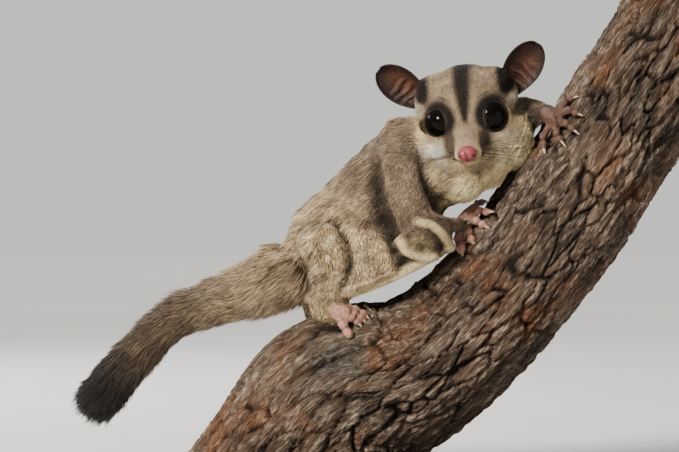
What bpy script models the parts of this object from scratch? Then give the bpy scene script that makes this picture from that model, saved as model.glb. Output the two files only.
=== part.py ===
"""A life-size sugar glider that clings to a cut length of branch, on a plain display stand.

Lengths are written in millimetres and multiplied by MM, because Blender works in metres.
+X runs to the animal's front along the branch, +Z is up, and the face looks along -Y.
The origin is the centre of the underside of the stand's base.
"""

import math
import random

import bmesh
import bpy
from mathutils import Matrix, Vector, noise

MM = 0.001
GAP = 0.3  # left between any two pieces that touch

# Driving sizes of the animal, coat included
HEAD_CENTRE = (12.0, 2.0, 160.0)
HEAD_PITCH = 14.0  # degrees, nose down
HEAD_ROLL = 7.0  # degrees, the animal's left side up
HEAD_TURN = 9.0  # degrees, towards its right
HEAD_HALF_WIDTH = 20.0
EYE_RADIUS = 7.0
EYE_PLACE = (10.1, -8.4, 1.6)
EYE_OUTWARD = 32.0  # degrees from straight ahead
EAR_LENGTH = 22.5
EAR_WIDTH = 16.0
EAR_THICKNESS = 1.1
NOSE_WIDTH = 7.6
NOSE_DEPTH = 3.6
NOSE_HEIGHT = 3.1
NOSE_PLACE = (0.0, -29.0, -8.6)
NOSTRIL = (0.85, 1.3, 0.6)
OPENING_RADIUS = 6.6  # of the ball that opens the lids, which lies ahead of the eyeball
OPENING_AHEAD = 5.0
LID_AHEAD = 2.6  # of the eyeball's centre, for the ring that the lids' rim follows
LID_RING = 6.9
LID_THICKNESS = 1.25
LID_STEPS = 24
LID_SIDES = 8
EAR_PLACE = (18.6, 3.0, 10.0)
EAR_RISE = {-1: 43.0, 1: 52.0}  # degrees above the head's side axis, right ear and left ear
TAIL_LOCK_LENGTH = 22.0
TAIL_LOCK_WIDTH = 9.6
TAIL_LOCK_THICKNESS = 2.0
TAIL_ROW = 14.5  # from one row of locks to the next
TAIL_CORE = 0.6  # the core's share of the tail's outer radius
TAIL_START = 0.86  # the same at the start of each length of tail
TRIM_SIZE = 90.0  # side of the block that trims a length of tail
TAIL_BEYOND = 14  # steps by which the tail's line runs on past the bone
LOCKS_AROUND = 7
LOCK_LEAD = 0.95  # share of a lock's length by which the first row starts before its node
ROOT_LEAD = 0.2  # the same at the tail's root
LAST_ROW = 7  # steps of the tail's line that the last row stops short of its end
LOCK_STOP = 0.3  # share of a lock's length that the last row stops short of the node's end
TIP_LOCKS = 5
BODY_TRIANGLES = 2600
HEAD_TRIANGLES = 4800  # for the whole animal, of which the head keeps about a fifth

# Driving sizes of the perch and the stand
BRANCH_DEPTH = 10.0  # the branch's axis lies this far behind the face's plane
BRANCH_FOOT = 18.0  # height of the branch's level cut
BASE_LENGTH = 224.0
BASE_WIDTH = 130.0
BASE_HEIGHT = 10.0
BASE_BEVEL = 2.0
ROD_RADIUS = 5.0
ROD_PLACES = (-80.0, -32.0)  # along X
BRANCH_SIDES = 26
BRANCH_RINGS = 26
BARK_DEPTH = 1.8
HEM_RADIUS = 2.3  # of the membranes' furred edge
HEM_RINGS = 9
FLAT_ANGLE = 0.3  # degrees within which faces count as one
SPINE_LEAN = -37.7  # degrees of the spine above level, turned about the Y axis
CHEST_START = 66.0  # distances along the spine from the model's origin
BELLY_START = 42.0

# The branch's axis, each point with the branch's radius there
BRANCH_AXIS = (
    ((-81.5, -3.0), 32.0),
    ((-58.6, 22.7), 36.6),
    ((-38.6, 41.4), 38.2),
    ((-5.0, 57.2), 31.0),
    ((26.9, 86.1), 27.8),
    ((53.7, 121.8), 28.3),
    ((75.4, 154.5), 27.2),
    ((94.9, 186.9), 26.6),
    ((109.0, 209.0), 26.3),
)

# The spine from the rump to the back of the head: place and radius
SPINE = (
    ((-58.5, 14.5, 102.0), 10.5),
    ((-51.5, 12.0, 109.0), 15.5),
    ((-40.5, 9.0, 114.5), 19.0),
    ((-28.0, 7.0, 124.0), 21.3),
    ((-16.5, 6.0, 134.0), 22.3),
    ((-5.0, 5.0, 143.5), 21.5),
    ((5.0, 7.0, 151.0), 17.5),
    ((10.0, 11.0, 158.0), 15.0),
)

# The tail's middle line from its root to the last point of its bone, with the outer radius of the coat
TAIL = (
    ((-56.0, 13.5, 101.5), 13.5),
    ((-66.0, 18.5, 94.5), 14.2),
    ((-77.0, 24.0, 89.0), 13.9),
    ((-90.5, 32.0, 84.0), 12.4),
    ((-104.6, 40.0, 78.6), 10.6),
    ((-117.0, 48.0, 72.5), 9.8),
    ((-126.5, 54.5, 64.0), 10.0),
    ((-136.0, 61.0, 54.5), 10.6),
    ((-145.5, 68.0, 44.0), 11.2),
    ((-152.0, 73.5, 36.0), 11.0),
)
TAIL_CUTS = (0.38, 0.71)  # shares of the tail's length where its nodes part

# Swellings of the body, each as its centre and radii
BODY_SWELLS = (
    ((-15.0, -2.0, 150.5), (11.5, 11.0, 12.0)),  # near shoulder
    ((6.0, 17.0, 151.0), (15.0, 12.0, 14.0)),  # far shoulder
    ((8.0, -4.0, 134.5), (13.0, 11.5, 11.5)),  # breast
    ((28.0, 4.0, 152.5), (13.5, 13.0, 15.0)),  # loose skin of the neck's left side
    ((20.5, -1.0, 140.5), (10.0, 10.0, 11.0)),  # throat
    ((-2.5, -4.5, 147.0), (10.5, 9.5, 13.0)),  # neck's right side
    ((-47.0, -3.5, 100.0), (9.0, 9.5, 13.0)),  # near haunch
    ((-47.0, 23.5, 100.0), (9.0, 9.5, 13.0)),  # far haunch
    ((-13.0, -14.0, 109.0), (8.0, 7.2, 7.0)),  # near elbow
    ((-7.0, -13.0, 107.8), (8.4, 6.4, 6.4)),  # fold of skin below it
)

# Each limb as a path of places and radii, named from the body outwards
NEAR_ARM = (
    ((-16.5, -5.5, 140.5), 12.3),
    ((-14.0, -12.5, 126.0), 11.0),
    ((-11.5, -15.5, 115.5), 9.3),
)
NEAR_FOREARM = (
    ((-9.0, -16.0, 114.5), 8.3),
    ((0.0, -13.5, 115.2), 6.2),
    ((5.6, -7.4, 116.0), 4.3),
    ((8.5, -1.6, 116.6), 3.5),
)
FAR_ARM = (
    ((22.0, 19.0, 148.0), 11.5),
    ((30.0, 21.0, 158.0), 9.5),
    ((36.0, 17.0, 163.5), 8.2),
)
FAR_FOREARM = (
    ((36.0, 17.0, 163.5), 8.0),
    ((41.5, 11.0, 163.6), 6.4),
    ((45.5, 5.0, 162.2), 4.8),
)
NEAR_THIGH = (
    ((-45.5, -2.0, 107.5), 13.0),
    ((-34.0, -8.0, 105.0), 12.5),
    ((-25.0, -11.5, 102.5), 10.8),
)
NEAR_SHANK = (
    ((-25.0, -11.5, 102.0), 9.8),
    ((-37.0, -9.5, 92.8), 8.0),
    ((-47.0, -5.5, 85.8), 6.3),
)
NEAR_HEEL = (
    ((-50.5, -4.0, 86.0), 6.0),
    ((-49.0, -3.4, 80.5), 6.9),
    ((-43.5, -4.4, 77.4), 5.6),
)
FAR_SHIFT = (-3.0, 0.0, -2.2)  # how far the hidden hind foot stands down the branch

# Each membrane's free edge, from the wrist's end to the ankle's
NEAR_EDGE = ((-3.0, -14.5, 104.0), (-41.0, -9.5, 89.5))
FAR_EDGE = ((27.0, 25.0, 144.0), (-41.0, 27.5, 90.5))
NEAR_HEM = (
    (-41.5, -9.5, 85.3),
    (-33.0, -11.5, 88.2),
    (-23.5, -13.0, 92.6),
    (-15.5, -14.0, 97.0),
    (-8.0, -14.5, 100.8),
    (-1.0, -14.0, 103.6),
    (4.0, -10.5, 106.4),
)
FAR_HEM = (
    (-44.0, 27.5, 85.5),
    (-33.0, 27.6, 93.0),
    (-20.0, 27.2, 102.5),
    (-4.0, 26.8, 115.6),
    (12.0, 26.0, 129.0),
    (27.0, 24.0, 142.5),
)
WRIST_FOLD = ((-9.0, -19.5, 116.0), (-2.5, -19.0, 114.5), (2.5, -15.0, 110.0), (4.5, -11.0, 106.8))

# Digits as x, z and lift off the bark at root, knuckle and tip, then the claw's point and the radius
HAND_RIGHT = (
    ((8.5, 112.6, 5.0), (7.8, 109.6, 3.8), (8.6, 105.4, 2.5), (9.3, 102.4, 0.5), 2.1),
    ((10.2, 114.4, 5.0), (11.4, 112.6, 4.2), (12.9, 109.3, 2.1), (14.3, 107.3, 0.5), 1.65),
    ((12.6, 117.6, 5.0), (14.8, 117.4, 4.2), (17.7, 115.5, 2.0), (20.4, 113.8, 0.5), 1.6),
    ((14.2, 120.4, 4.8), (16.4, 121.6, 4.0), (19.6, 120.9, 2.0), (22.6, 121.0, 0.5), 1.5),
    ((14.8, 122.6, 4.6), (16.2, 124.6, 3.6), (18.4, 125.2, 1.9), (20.8, 125.2, 0.6), 1.4),
)
PALM_RIGHT = ((8.6, 114.8, 5.2), (9.5, 115.2, 5.0), (13.0, 119.5, 4.6), (14.6, 122.0, 4.4))
HAND_LEFT = (
    ((49.5, 163.0, 3.6), (51.6, 166.8, 3.2), (54.3, 168.2, 1.8), (57.9, 168.9, 0.5), 1.45),
    ((49.8, 161.8, 3.8), (52.4, 163.2, 3.4), (55.8, 161.9, 1.8), (58.5, 160.4, 0.5), 1.45),
    ((49.0, 158.8, 3.8), (51.2, 157.8, 3.4), (53.9, 155.3, 1.8), (57.0, 152.5, 0.5), 1.45),
    ((47.0, 156.4, 3.6), (47.6, 153.6, 3.2), (49.0, 151.0, 1.8), (51.6, 147.4, 0.5), 1.45),
    ((45.0, 156.2, 3.6), (42.6, 152.8, 3.2), (42.6, 148.6, 1.9), (43.4, 144.8, 0.5), 1.5),
)
PALM_LEFT = ((44.8, 162.2, 5.0), (46.6, 160.4, 4.4), (48.4, 158.8, 4.0), (48.8, 160.8, 3.8))
FOOT = (
    ((-42.2, 77.6, 4.2), (-41.0, 74.6, 3.4), (-38.4, 70.6, 2.2), None, 1.85),
    ((-39.8, 81.4, 4.4), (-36.6, 82.6, 4.2), (-31.6, 81.6, 2.0), (-28.9, 79.2, 0.5), 1.5),
    ((-38.8, 80.2, 4.6), (-36.0, 80.6, 4.2), (-32.2, 78.6, 2.0), (-29.8, 76.2, 0.5), 1.5),
    ((-38.8, 78.8, 4.6), (-36.2, 78.6, 3.8), (-33.2, 77.0, 2.0), (-31.4, 74.9, 0.5), 1.5),
    ((-39.2, 77.4, 4.6), (-37.2, 77.0, 3.6), (-35.0, 75.4, 1.9), (-33.0, 73.2, 0.5), 1.4),
)
SOLE = ((-43.5, 79.6, 5.4), (-42.0, 79.0, 4.8), (-40.0, 79.2, 4.6), (-38.8, 80.0, 4.4))
PALM_RADII = (3.4, 3.9, 3.6, 2.6)
DIGIT_SIDES = 5
CLAW_RADII = (0.95, 0.62, 0.14)

# Finishes
FUR_GREY = (0.36, 0.29, 0.22, 1.0)
FUR_BROWN = (0.42, 0.32, 0.23, 1.0)
FUR_CREAM = (0.72, 0.62, 0.45, 1.0)
FUR_DARK = (0.09, 0.07, 0.07, 1.0)
SKIN_PINK = (0.68, 0.42, 0.35, 1.0)
NOSE_PINK = (0.62, 0.22, 0.22, 1.0)
EAR_BROWN = (0.35, 0.22, 0.17, 1.0)
EYE_BLACK = (0.01, 0.01, 0.01, 1.0)
BARK_BROWN = (0.20, 0.15, 0.11, 1.0)
STAND_BLACK = (0.03, 0.03, 0.03, 1.0)
STEEL_GREY = (0.35, 0.35, 0.36, 1.0)


def clear_scene():
    for obj in list(bpy.data.objects):
        bpy.data.objects.remove(obj, do_unlink=True)


def material(name, colour, roughness, metallic=0.0):
    """One plain material, made once."""
    made = bpy.data.materials.get(name)
    if made is None:
        made = bpy.data.materials.new(name)
        made.use_nodes = True
        shader = made.node_tree.nodes["Principled BSDF"]
        shader.inputs["Base Color"].default_value = colour
        shader.inputs["Roughness"].default_value = roughness
        shader.inputs["Metallic"].default_value = metallic
        made.diffuse_color = colour
    return made


def new_object(name, mesh_maker, finish=None):
    """An object whose mesh is the bmesh that mesh_maker fills in, in metres."""
    mesh = bpy.data.meshes.new(name)
    bm = bmesh.new()
    mesh_maker(bm)
    bmesh.ops.recalc_face_normals(bm, faces=bm.faces)
    bm.to_mesh(mesh)
    bm.free()
    obj = bpy.data.objects.new(name, mesh)
    bpy.context.scene.collection.objects.link(obj)
    if finish is not None:
        obj.data.materials.append(finish)
    return obj


def remove(*objs):
    for obj in objs:
        bpy.data.objects.remove(obj, do_unlink=True)


def applied(obj):
    """The object with its modifiers made part of its mesh."""
    graph = bpy.context.evaluated_depsgraph_get()
    mesh = bpy.data.meshes.new_from_object(obj.evaluated_get(graph))
    obj.modifiers.clear()
    obj.data = mesh
    return obj


def copy_of(obj, name):
    twin = obj.copy()
    twin.data = obj.data.copy()
    twin.name = name
    bpy.context.scene.collection.objects.link(twin)
    return twin


def boolean(obj, other, operation, solver="EXACT"):
    """Cuts obj by other, joins them or keeps what they share, and applies it."""
    cut = obj.modifiers.new("Cut", "BOOLEAN")
    cut.operation = operation
    cut.solver = solver
    cut.object = other
    return applied(obj)


def united(name, pieces, finish):
    """One closed body from closed pieces: a union over a collection, its helpers then removed."""
    group = bpy.data.collections.new(name + "_pieces")
    bpy.context.scene.collection.children.link(group)
    for piece in pieces[1:]:
        bpy.context.scene.collection.objects.unlink(piece)
        group.objects.link(piece)
    body = pieces[0]
    body.name = name
    join = body.modifiers.new("Join", "BOOLEAN")
    join.operation = "UNION"
    join.operand_type = "COLLECTION"
    join.solver = "MANIFOLD"
    join.collection = group
    applied(body)
    for piece in list(group.objects):
        remove(piece)
    bpy.data.collections.remove(group)
    keep_largest(body)
    body.data.materials.clear()
    body.data.materials.append(finish)
    return body


def keep_largest(obj):
    """Drops every closed surface of the mesh but the largest, by its box."""
    bm = bmesh.new()
    bm.from_mesh(obj.data)
    bmesh.ops.triangulate(bm, faces=[face for face in bm.faces if len(face.verts) > 4])
    left = set(bm.faces)
    shells = []
    while left:
        front = [left.pop()]
        shell = []
        while front:
            face = front.pop()
            shell.append(face)
            for edge in face.edges:
                for other in edge.link_faces if edge.is_manifold else ():
                    if other in left:
                        left.remove(other)
                        front.append(other)
        shells.append(shell)

    def span(shell):
        places = [v.co for face in shell for v in face.verts]
        return sum(max(p[i] for p in places) - min(p[i] for p in places) for i in range(3))

    shells.sort(key=span)
    doomed = [face for shell in shells[:-1] for face in shell]
    bmesh.ops.delete(bm, geom=doomed, context="FACES")
    bm.to_mesh(obj.data)
    bm.free()
    return obj


def smooth_shaded(obj):
    obj.data.shade_smooth()
    obj.data.set_sharp_from_angle(angle=math.radians(50))
    return obj


def grown(obj, by=GAP):
    """A copy whose surface is moved outwards, for cutting a neighbour clear."""
    twin = copy_of(obj, obj.name + "_grown")
    push = twin.modifiers.new("Grow", "DISPLACE")
    push.strength = by * MM
    push.mid_level = 0.0
    return applied(twin)


def frames_along(points):
    """A side and an up vector at each point of a path, turned as little as they can be."""
    tangents = []
    for i in range(len(points)):
        before = points[max(i - 1, 0)]
        after = points[min(i + 1, len(points) - 1)]
        tangents.append((after - before).normalized())
    side = tangents[0].cross(Vector((0, 0, 1)))
    if side.length < 0.1:
        side = tangents[0].cross(Vector((0, 1, 0)))
    side.normalize()
    found = []
    for tangent in tangents:
        side = (side - tangent * side.dot(tangent)).normalized()
        found.append((tangent, side, side.cross(tangent).normalized()))
    return found


def smooth_path(places, count):
    """Points on a smooth curve through the places, by Catmull-Rom, with any values that ride along."""
    last = len(places) - 1
    made = []
    for k in range(count):
        along = k / (count - 1) * last
        i = min(int(along), last - 1)
        t = along - i
        p = [places[max(i - 1, 0)], places[i], places[i + 1], places[min(i + 2, last)]]
        made.append(
            [
                0.5
                * (
                    2 * b
                    + (c - a) * t
                    + (2 * a - 5 * b + 4 * c - d) * t * t
                    + (3 * b - a - 3 * c + d) * t**3
                )
                for a, b, c, d in zip(*p)
            ]
        )
    return made


def add_tube(bm, points, radii, sides=16, flat=1.0, ends=3):
    """A closed tube of round or flattened rings along points in millimetres, with round ends."""
    points = [Vector(p) for p in points]
    axes = frames_along(points)
    rings = []

    def ring(centre, frame, radius):
        _, side, up = frame
        made = []
        for k in range(sides):
            a = 2 * math.pi * k / sides
            place = centre + side * (math.cos(a) * radius) + up * (math.sin(a) * radius * flat)
            made.append(bm.verts.new(place * MM))
        rings.append(made)

    def cap(index, sign):
        steps = range(1, ends) if sign > 0 else range(ends - 1, 0, -1)
        for k in steps:
            a = 0.5 * math.pi * k / ends
            shift = axes[index][0] * (sign * radii[index] * math.sin(a))
            ring(points[index] + shift, axes[index], radii[index] * math.cos(a))

    if ends:
        cap(0, -1)
    for centre, frame, radius in zip(points, axes, radii):
        ring(centre, frame, radius)
    if ends:
        cap(len(points) - 1, 1)
    for low, high in zip(rings, rings[1:]):
        for k in range(sides):
            n = (k + 1) % sides
            bm.faces.new((low[k], low[n], high[n], high[k]))
    if ends:
        for index, loop, sign in ((0, rings[0], -1), (len(points) - 1, rings[-1], 1)):
            tip = bm.verts.new((points[index] + axes[index][0] * (sign * radii[index])) * MM)
            for k in range(sides):
                bm.faces.new((loop[k], loop[(k + 1) % sides], tip))
    else:
        bm.faces.new(rings[0])
        bm.faces.new(rings[-1])


def add_ball(bm, centre, radii, turn=None, segments=20):
    """An ellipsoid with its centre and radii in millimetres."""
    if isinstance(radii, (int, float)):
        radii = (radii, radii, radii)
    place = Matrix.Translation(Vector(centre) * MM)
    if turn is not None:
        place = place @ turn.to_4x4()
    place = place @ Matrix.Diagonal((*(r * MM for r in radii), 1.0))
    bmesh.ops.create_uvsphere(
        bm, u_segments=segments, v_segments=segments // 2, radius=1.0, matrix=place
    )


def head_turn():
    """The rotation from the head's own axes, with +Y to the back of the skull, to the model's."""
    roll = Matrix.Rotation(math.radians(-HEAD_ROLL), 3, "Y")
    turn = Matrix.Rotation(math.radians(-HEAD_TURN), 3, "Z")
    pitch = Matrix.Rotation(math.radians(HEAD_PITCH), 3, "X")
    return roll @ turn @ pitch


def on_head(x, y, z):
    """A place given on the head's own axes, in the model's millimetres."""
    return Vector(HEAD_CENTRE) + head_turn() @ Vector((x, y, z))


def add_head(bm):
    """Cranium, brow, cheeks, muzzle and jaw as overlapping forms."""
    turn = head_turn()
    wide = HEAD_HALF_WIDTH
    add_ball(bm, on_head(0, 4, 5.2), (wide, 19, 18.0), turn)
    add_ball(bm, on_head(0, -7, 4), (14.0, 9.5, 13.0), turn)
    for side in (-1, 1):
        add_ball(bm, on_head(side * 11.5, -1.5, -5.5), (10.2, 12.0, 10.0), turn)
        add_ball(bm, on_head(side * 16.5, 5.0, 8.5), (6.5, 7.5, 8.0), turn)
    muzzle = [on_head(0, -6, -4), on_head(0, -14, -6), on_head(0, -21, -7.6), on_head(0, -26.2, -8.8)]
    add_tube(bm, muzzle, [12.0, 8.8, 6.2, 4.2], sides=20)
    jaw = [on_head(0, 4, -11), on_head(0, -10, -12.5), on_head(0, -19.5, -13.0)]
    add_tube(bm, jaw, [10.0, 6.6, 3.6], sides=16)


def add_face(bm):
    """The finer forms of the face, joined after the head is smoothed."""
    turn = head_turn()
    for side in (-1, 1):
        add_ball(bm, on_head(side * 2.6, -23.6, -9.4), (3.3, 5.4, 3.3), turn)
        lid_ring(bm, side)
    add_ball(bm, on_head(0, -21.5, -13.2), (3.0, 3.6, 2.0), turn)


def eye_axis(side):
    """The way that an eye looks, in the model's axes."""
    out = math.radians(EYE_OUTWARD)
    return head_turn() @ Vector((side * math.sin(out), -math.cos(out), 0.10)).normalized()


def eye_centre(side):
    x, y, z = EYE_PLACE
    return on_head(side * x, y, z)


def lid_ring(bm, side):
    """The swollen rim of the lids, a closed ring that lies over the eyeball."""
    axis = eye_axis(side)
    flat = axis.cross(Vector((0, 0, 1))).normalized()
    up = flat.cross(axis)
    centre = eye_centre(side) + axis * LID_AHEAD
    rings = []
    for k in range(LID_STEPS):
        a = 2 * math.pi * k / LID_STEPS
        out = flat * math.cos(a) + up * math.sin(a)
        middle = centre + out * LID_RING
        made = []
        for j in range(LID_SIDES):
            b = 2 * math.pi * j / LID_SIDES
            made.append(bm.verts.new((middle + (out * math.cos(b) + axis * math.sin(b)) * LID_THICKNESS) * MM))
        rings.append(made)
    for k in range(LID_STEPS):
        low, high = rings[k], rings[(k + 1) % LID_STEPS]
        for j in range(LID_SIDES):
            n = (j + 1) % LID_SIDES
            bm.faces.new((low[j], low[n], high[n], high[j]))


def path_of(limb):
    return [p for p, _ in limb]


def radii_of(limb):
    return [r for _, r in limb]


def far_side(places):
    """The same places on the branch's other side, moved along it by FAR_SHIFT."""
    dx, dy, dz = FAR_SHIFT
    return [(x + dx, 2 * BRANCH_DEPTH - y + dy, z + dz) for x, y, z in places]


def far_limb(limb):
    return tuple(zip(far_side(path_of(limb)), radii_of(limb)))


def branch_line():
    """Close-set points of the branch's axis, each as x, z and radius."""
    return smooth_path([(x, z, r) for (x, z), r in BRANCH_AXIS], 161)


def over_bark(x, z, lift):
    """The place on the branch's near side that is seen at x and z and stands off the bark by lift."""
    line = branch_line()
    i = min(range(1, len(line) - 1), key=lambda k: math.hypot(line[k][0] - x, line[k][1] - z))
    along = Vector((line[i + 1][0] - line[i - 1][0], line[i + 1][1] - line[i - 1][1])).normalized()
    across = -along.y * (x - line[i][0]) + along.x * (z - line[i][1])
    reach = line[i][2] + lift
    return (x, BRANCH_DEPTH - math.sqrt(max(reach * reach - across * across, 0.0)), z)


def add_membrane(bm, edge, sag, lean):
    """A folded gliding membrane: strands side by side that the remesh turns into one soft sheet."""
    strands = 5
    (x0, y0, z0), (x1, y1, z1) = edge
    for k in range(strands):
        t = k / (strands - 1)
        points = []
        for j in range(7):
            s = j / 6
            low = z0 + (z1 - z0) * s - sag * math.sin(math.pi * s)
            y = y0 + (y1 - y0) * s + lean * t * t
            points.append((x0 + (x1 - x0) * s - 3.0 * t * (1 - s), y, low + t * 14.0))
        add_tube(bm, points, [2.1 + 1.6 * t] * 7, sides=10)


def add_body(bm):
    """Torso, neck and limbs down to wrist and ankle, as overlapping forms."""
    add_tube(bm, path_of(SPINE), radii_of(SPINE), sides=28, ends=4)
    for centre, radii in BODY_SWELLS:
        add_ball(bm, centre, radii)
    near = (NEAR_ARM, NEAR_FOREARM, NEAR_THIGH, NEAR_SHANK, NEAR_HEEL)
    far = (FAR_ARM, FAR_FOREARM, far_limb(NEAR_THIGH), far_limb(NEAR_SHANK), far_limb(NEAR_HEEL))
    for limb in near + far:
        add_tube(bm, path_of(limb), radii_of(limb), sides=18)


def add_membranes(bm):
    add_membrane(bm, NEAR_EDGE, 1.5, 4.0)
    add_membrane(bm, FAR_EDGE, 1.5, -4.0)
    add_tube(bm, WRIST_FOLD, (2.6, 2.8, 2.6, 2.2), sides=12)


def blended(name, fill, voxel, rounds, others=()):
    """The forms that fill adds, with others, made one surface by a remesh and then smoothed."""

    def gather(bm):
        fill(bm)
        for other in others:
            bm.from_mesh(other.data)

    obj = new_object(name, gather)
    remesh = obj.modifiers.new("Remesh", "REMESH")
    remesh.mode = "VOXEL"
    remesh.voxel_size = voxel * MM
    soften = obj.modifiers.new("Soften", "SMOOTH")
    soften.factor = 0.5
    soften.iterations = rounds
    applied(obj)
    remove(*others)
    return keep_largest(obj)


def whole_animal():
    """Head, body and membranes as one surface, with the finer forms added last."""
    head = blended("head_forms", add_head, 1.2, 10)
    body = blended("body_forms", add_body, 1.4, 12)
    joined = blended("joined_forms", add_membranes, 1.0, 5, (head, body))
    return blended("whole_animal", add_face, 0.75, 4, (joined,))


def thinned(obj, name, faces):
    """A copy with about that many triangles."""
    twin = copy_of(obj, name)
    thin = twin.modifiers.new("Thin", "DECIMATE")
    now = sum(len(p.vertices) - 2 for p in twin.data.polygons)
    thin.ratio = min(1.0, faces / now)
    return applied(twin)


def tube_region(limb, margin, start=0.0, finish=0.0):
    """A maker of plain tubes round a limb, made longer at either end, to keep what lies inside."""
    path = [Vector(p) for p in path_of(limb)]
    first = (path[1] - path[0]).normalized()
    last = (path[-1] - path[-2]).normalized()

    def make(name, extra):
        line = list(path)
        line[0] = path[0] - first * (start + extra)
        line[-1] = path[-1] + last * (finish + extra)
        radii = [r + margin + extra for r in radii_of(limb)]
        return new_object(name, lambda bm: add_tube(bm, line, radii, sides=8, ends=0))

    return make


def ball_region(centre, radii, turn=None):
    def make(name, extra):
        wide = tuple(r + extra for r in radii)
        return new_object(name, lambda bm: add_ball(bm, centre, wide, turn, segments=12))

    return make


def slab_region(low, high):
    """A maker of slabs across the spine, between two heights along it."""
    lean = Matrix.Rotation(math.radians(SPINE_LEAN), 4, "Y")

    def make(name, extra):
        thick = high - low + 2 * extra
        along = lean @ Vector((0.5 * (low + high), 0, 0))
        size = Matrix.Diagonal((thick * MM, 0.3, 0.3, 1.0))
        place = Matrix.Translation(along * MM) @ lean @ size
        return new_object(name, lambda bm: bmesh.ops.create_cube(bm, size=1.0, matrix=place))

    return make


def take(rest, source, name, make_region, finish):
    """Parts one node from the rest: it keeps what lies in the region, and rest loses it with the gap."""
    inner = make_region(name + "_in", 0.0)
    outer = make_region(name + "_out", GAP)
    node = copy_of(source, name)
    boolean(node, inner, "INTERSECT")
    boolean(rest, outer, "DIFFERENCE")
    remove(inner, outer)
    keep_largest(node)
    node.data.materials.clear()
    node.data.materials.append(finish)
    return node


def merged_flats(obj):
    """The same shape with its coplanar faces made one, so that cut faces cost fewer triangles."""
    flat = obj.modifiers.new("Flats", "DECIMATE")
    flat.decimate_type = "DISSOLVE"
    flat.angle_limit = math.radians(FLAT_ANGLE)
    return applied(obj)


def clear_of(node, *others, solver="EXACT", by=GAP):
    """Cuts the node so that it stands off each of the others by the gap."""
    for other in others:
        cutter = grown(other, by)
        boolean(node, cutter, "DIFFERENCE", solver)
        remove(cutter)
    keep_largest(node)


def part_animal(whole, branch):
    """Cuts the whole animal into its named nodes."""
    grey = material("fur_grey", FUR_GREY, 0.9)
    cream = material("fur_cream", FUR_CREAM, 0.9)
    brown = material("fur_brown", FUR_BROWN, 0.9)
    rest = thinned(whole, "torso", BODY_TRIANGLES)
    fine = thinned(whole, "fine", HEAD_TRIANGLES)
    clear_of(rest, branch)
    nodes = {}

    head = ball_region(on_head(0, -6, 3.2), (26.0, 32.5, 23.0), head_turn())
    nodes["head"] = take(rest, fine, "head", head, grey)
    remove(fine)
    thigh_far, shank_far, heel_far = (far_limb(limb) for limb in (NEAR_THIGH, NEAR_SHANK, NEAR_HEEL))
    for name, make_region, finish in (
        ("foreleg_right_lower", tube_region(NEAR_FOREARM, 2.4, 3.0, 6.0), grey),
        ("foreleg_right_upper", tube_region(NEAR_ARM, 1.8, -3.0, 14.0), grey),
        ("foreleg_left_lower", tube_region(FAR_FOREARM, 3.0, -1.0, 9.0), grey),
        ("foreleg_left_upper", tube_region(FAR_ARM, 2.5, -6.0, 8.0), grey),
        ("neck", ball_region((14.0, 6.0, 151.5), (27.0, 18.5, 13.5)), cream),
        ("foot_right_heel", tube_region(NEAR_HEEL, 3.0, 1.5, 8.0), cream),
        ("hindleg_right_lower", tube_region(NEAR_SHANK, 1.8, -6.0, 3.0), grey),
        ("hindleg_right_upper", tube_region(NEAR_THIGH, 1.0, 2.0, 13.0), grey),
        ("foot_left_heel", tube_region(heel_far, 3.0, 1.5, 8.0), cream),
        ("hindleg_left_lower", tube_region(shank_far, 1.8, -6.0, 3.0), grey),
        ("hindleg_left_upper", tube_region(thigh_far, 1.0, 2.0, 13.0), grey),
        ("torso_hips", slab_region(-60.0, BELLY_START), brown),
        ("torso_belly", slab_region(-60.0, CHEST_START), grey),
    ):
        source = copy_of(rest, name + "_source")
        nodes[name] = take(rest, source, name, make_region, finish)
        remove(source)
    rest.name = "torso_chest"
    rest.data.materials.clear()
    rest.data.materials.append(grey)
    nodes["torso_chest"] = keep_largest(rest)
    clear_of(nodes["neck"], nodes["foreleg_left_upper"])
    for node in nodes.values():
        merged_flats(node)
    return nodes


def membrane_hems(nodes, branch):
    """The furred free edge of each gliding membrane, clear of everything that it runs past."""
    cream = material("fur_cream", FUR_CREAM, 0.9)
    near = ("foreleg_right_lower", "foreleg_right_upper", "hindleg_right_lower", "hindleg_right_upper")
    far = ("foreleg_left_upper", "neck", "hindleg_left_lower", "hindleg_left_upper")
    torso = ("torso_chest", "torso_belly", "torso_hips")
    for name, path, beside in (
        ("patagium_right", NEAR_HEM, near + ("foot_right_heel",) + torso),
        ("patagium_left", FAR_HEM, far + ("foot_left_heel",) + torso),
    ):
        line = smooth_path(path, HEM_RINGS)
        radii = [HEM_RADIUS] * HEM_RINGS
        hem = new_object(name, lambda bm: add_tube(bm, line, radii, sides=7, ends=2), cream)
        clear_of(hem, branch, *(nodes[other] for other in beside), solver="MANIFOLD")
        nodes[name] = hem


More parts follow.
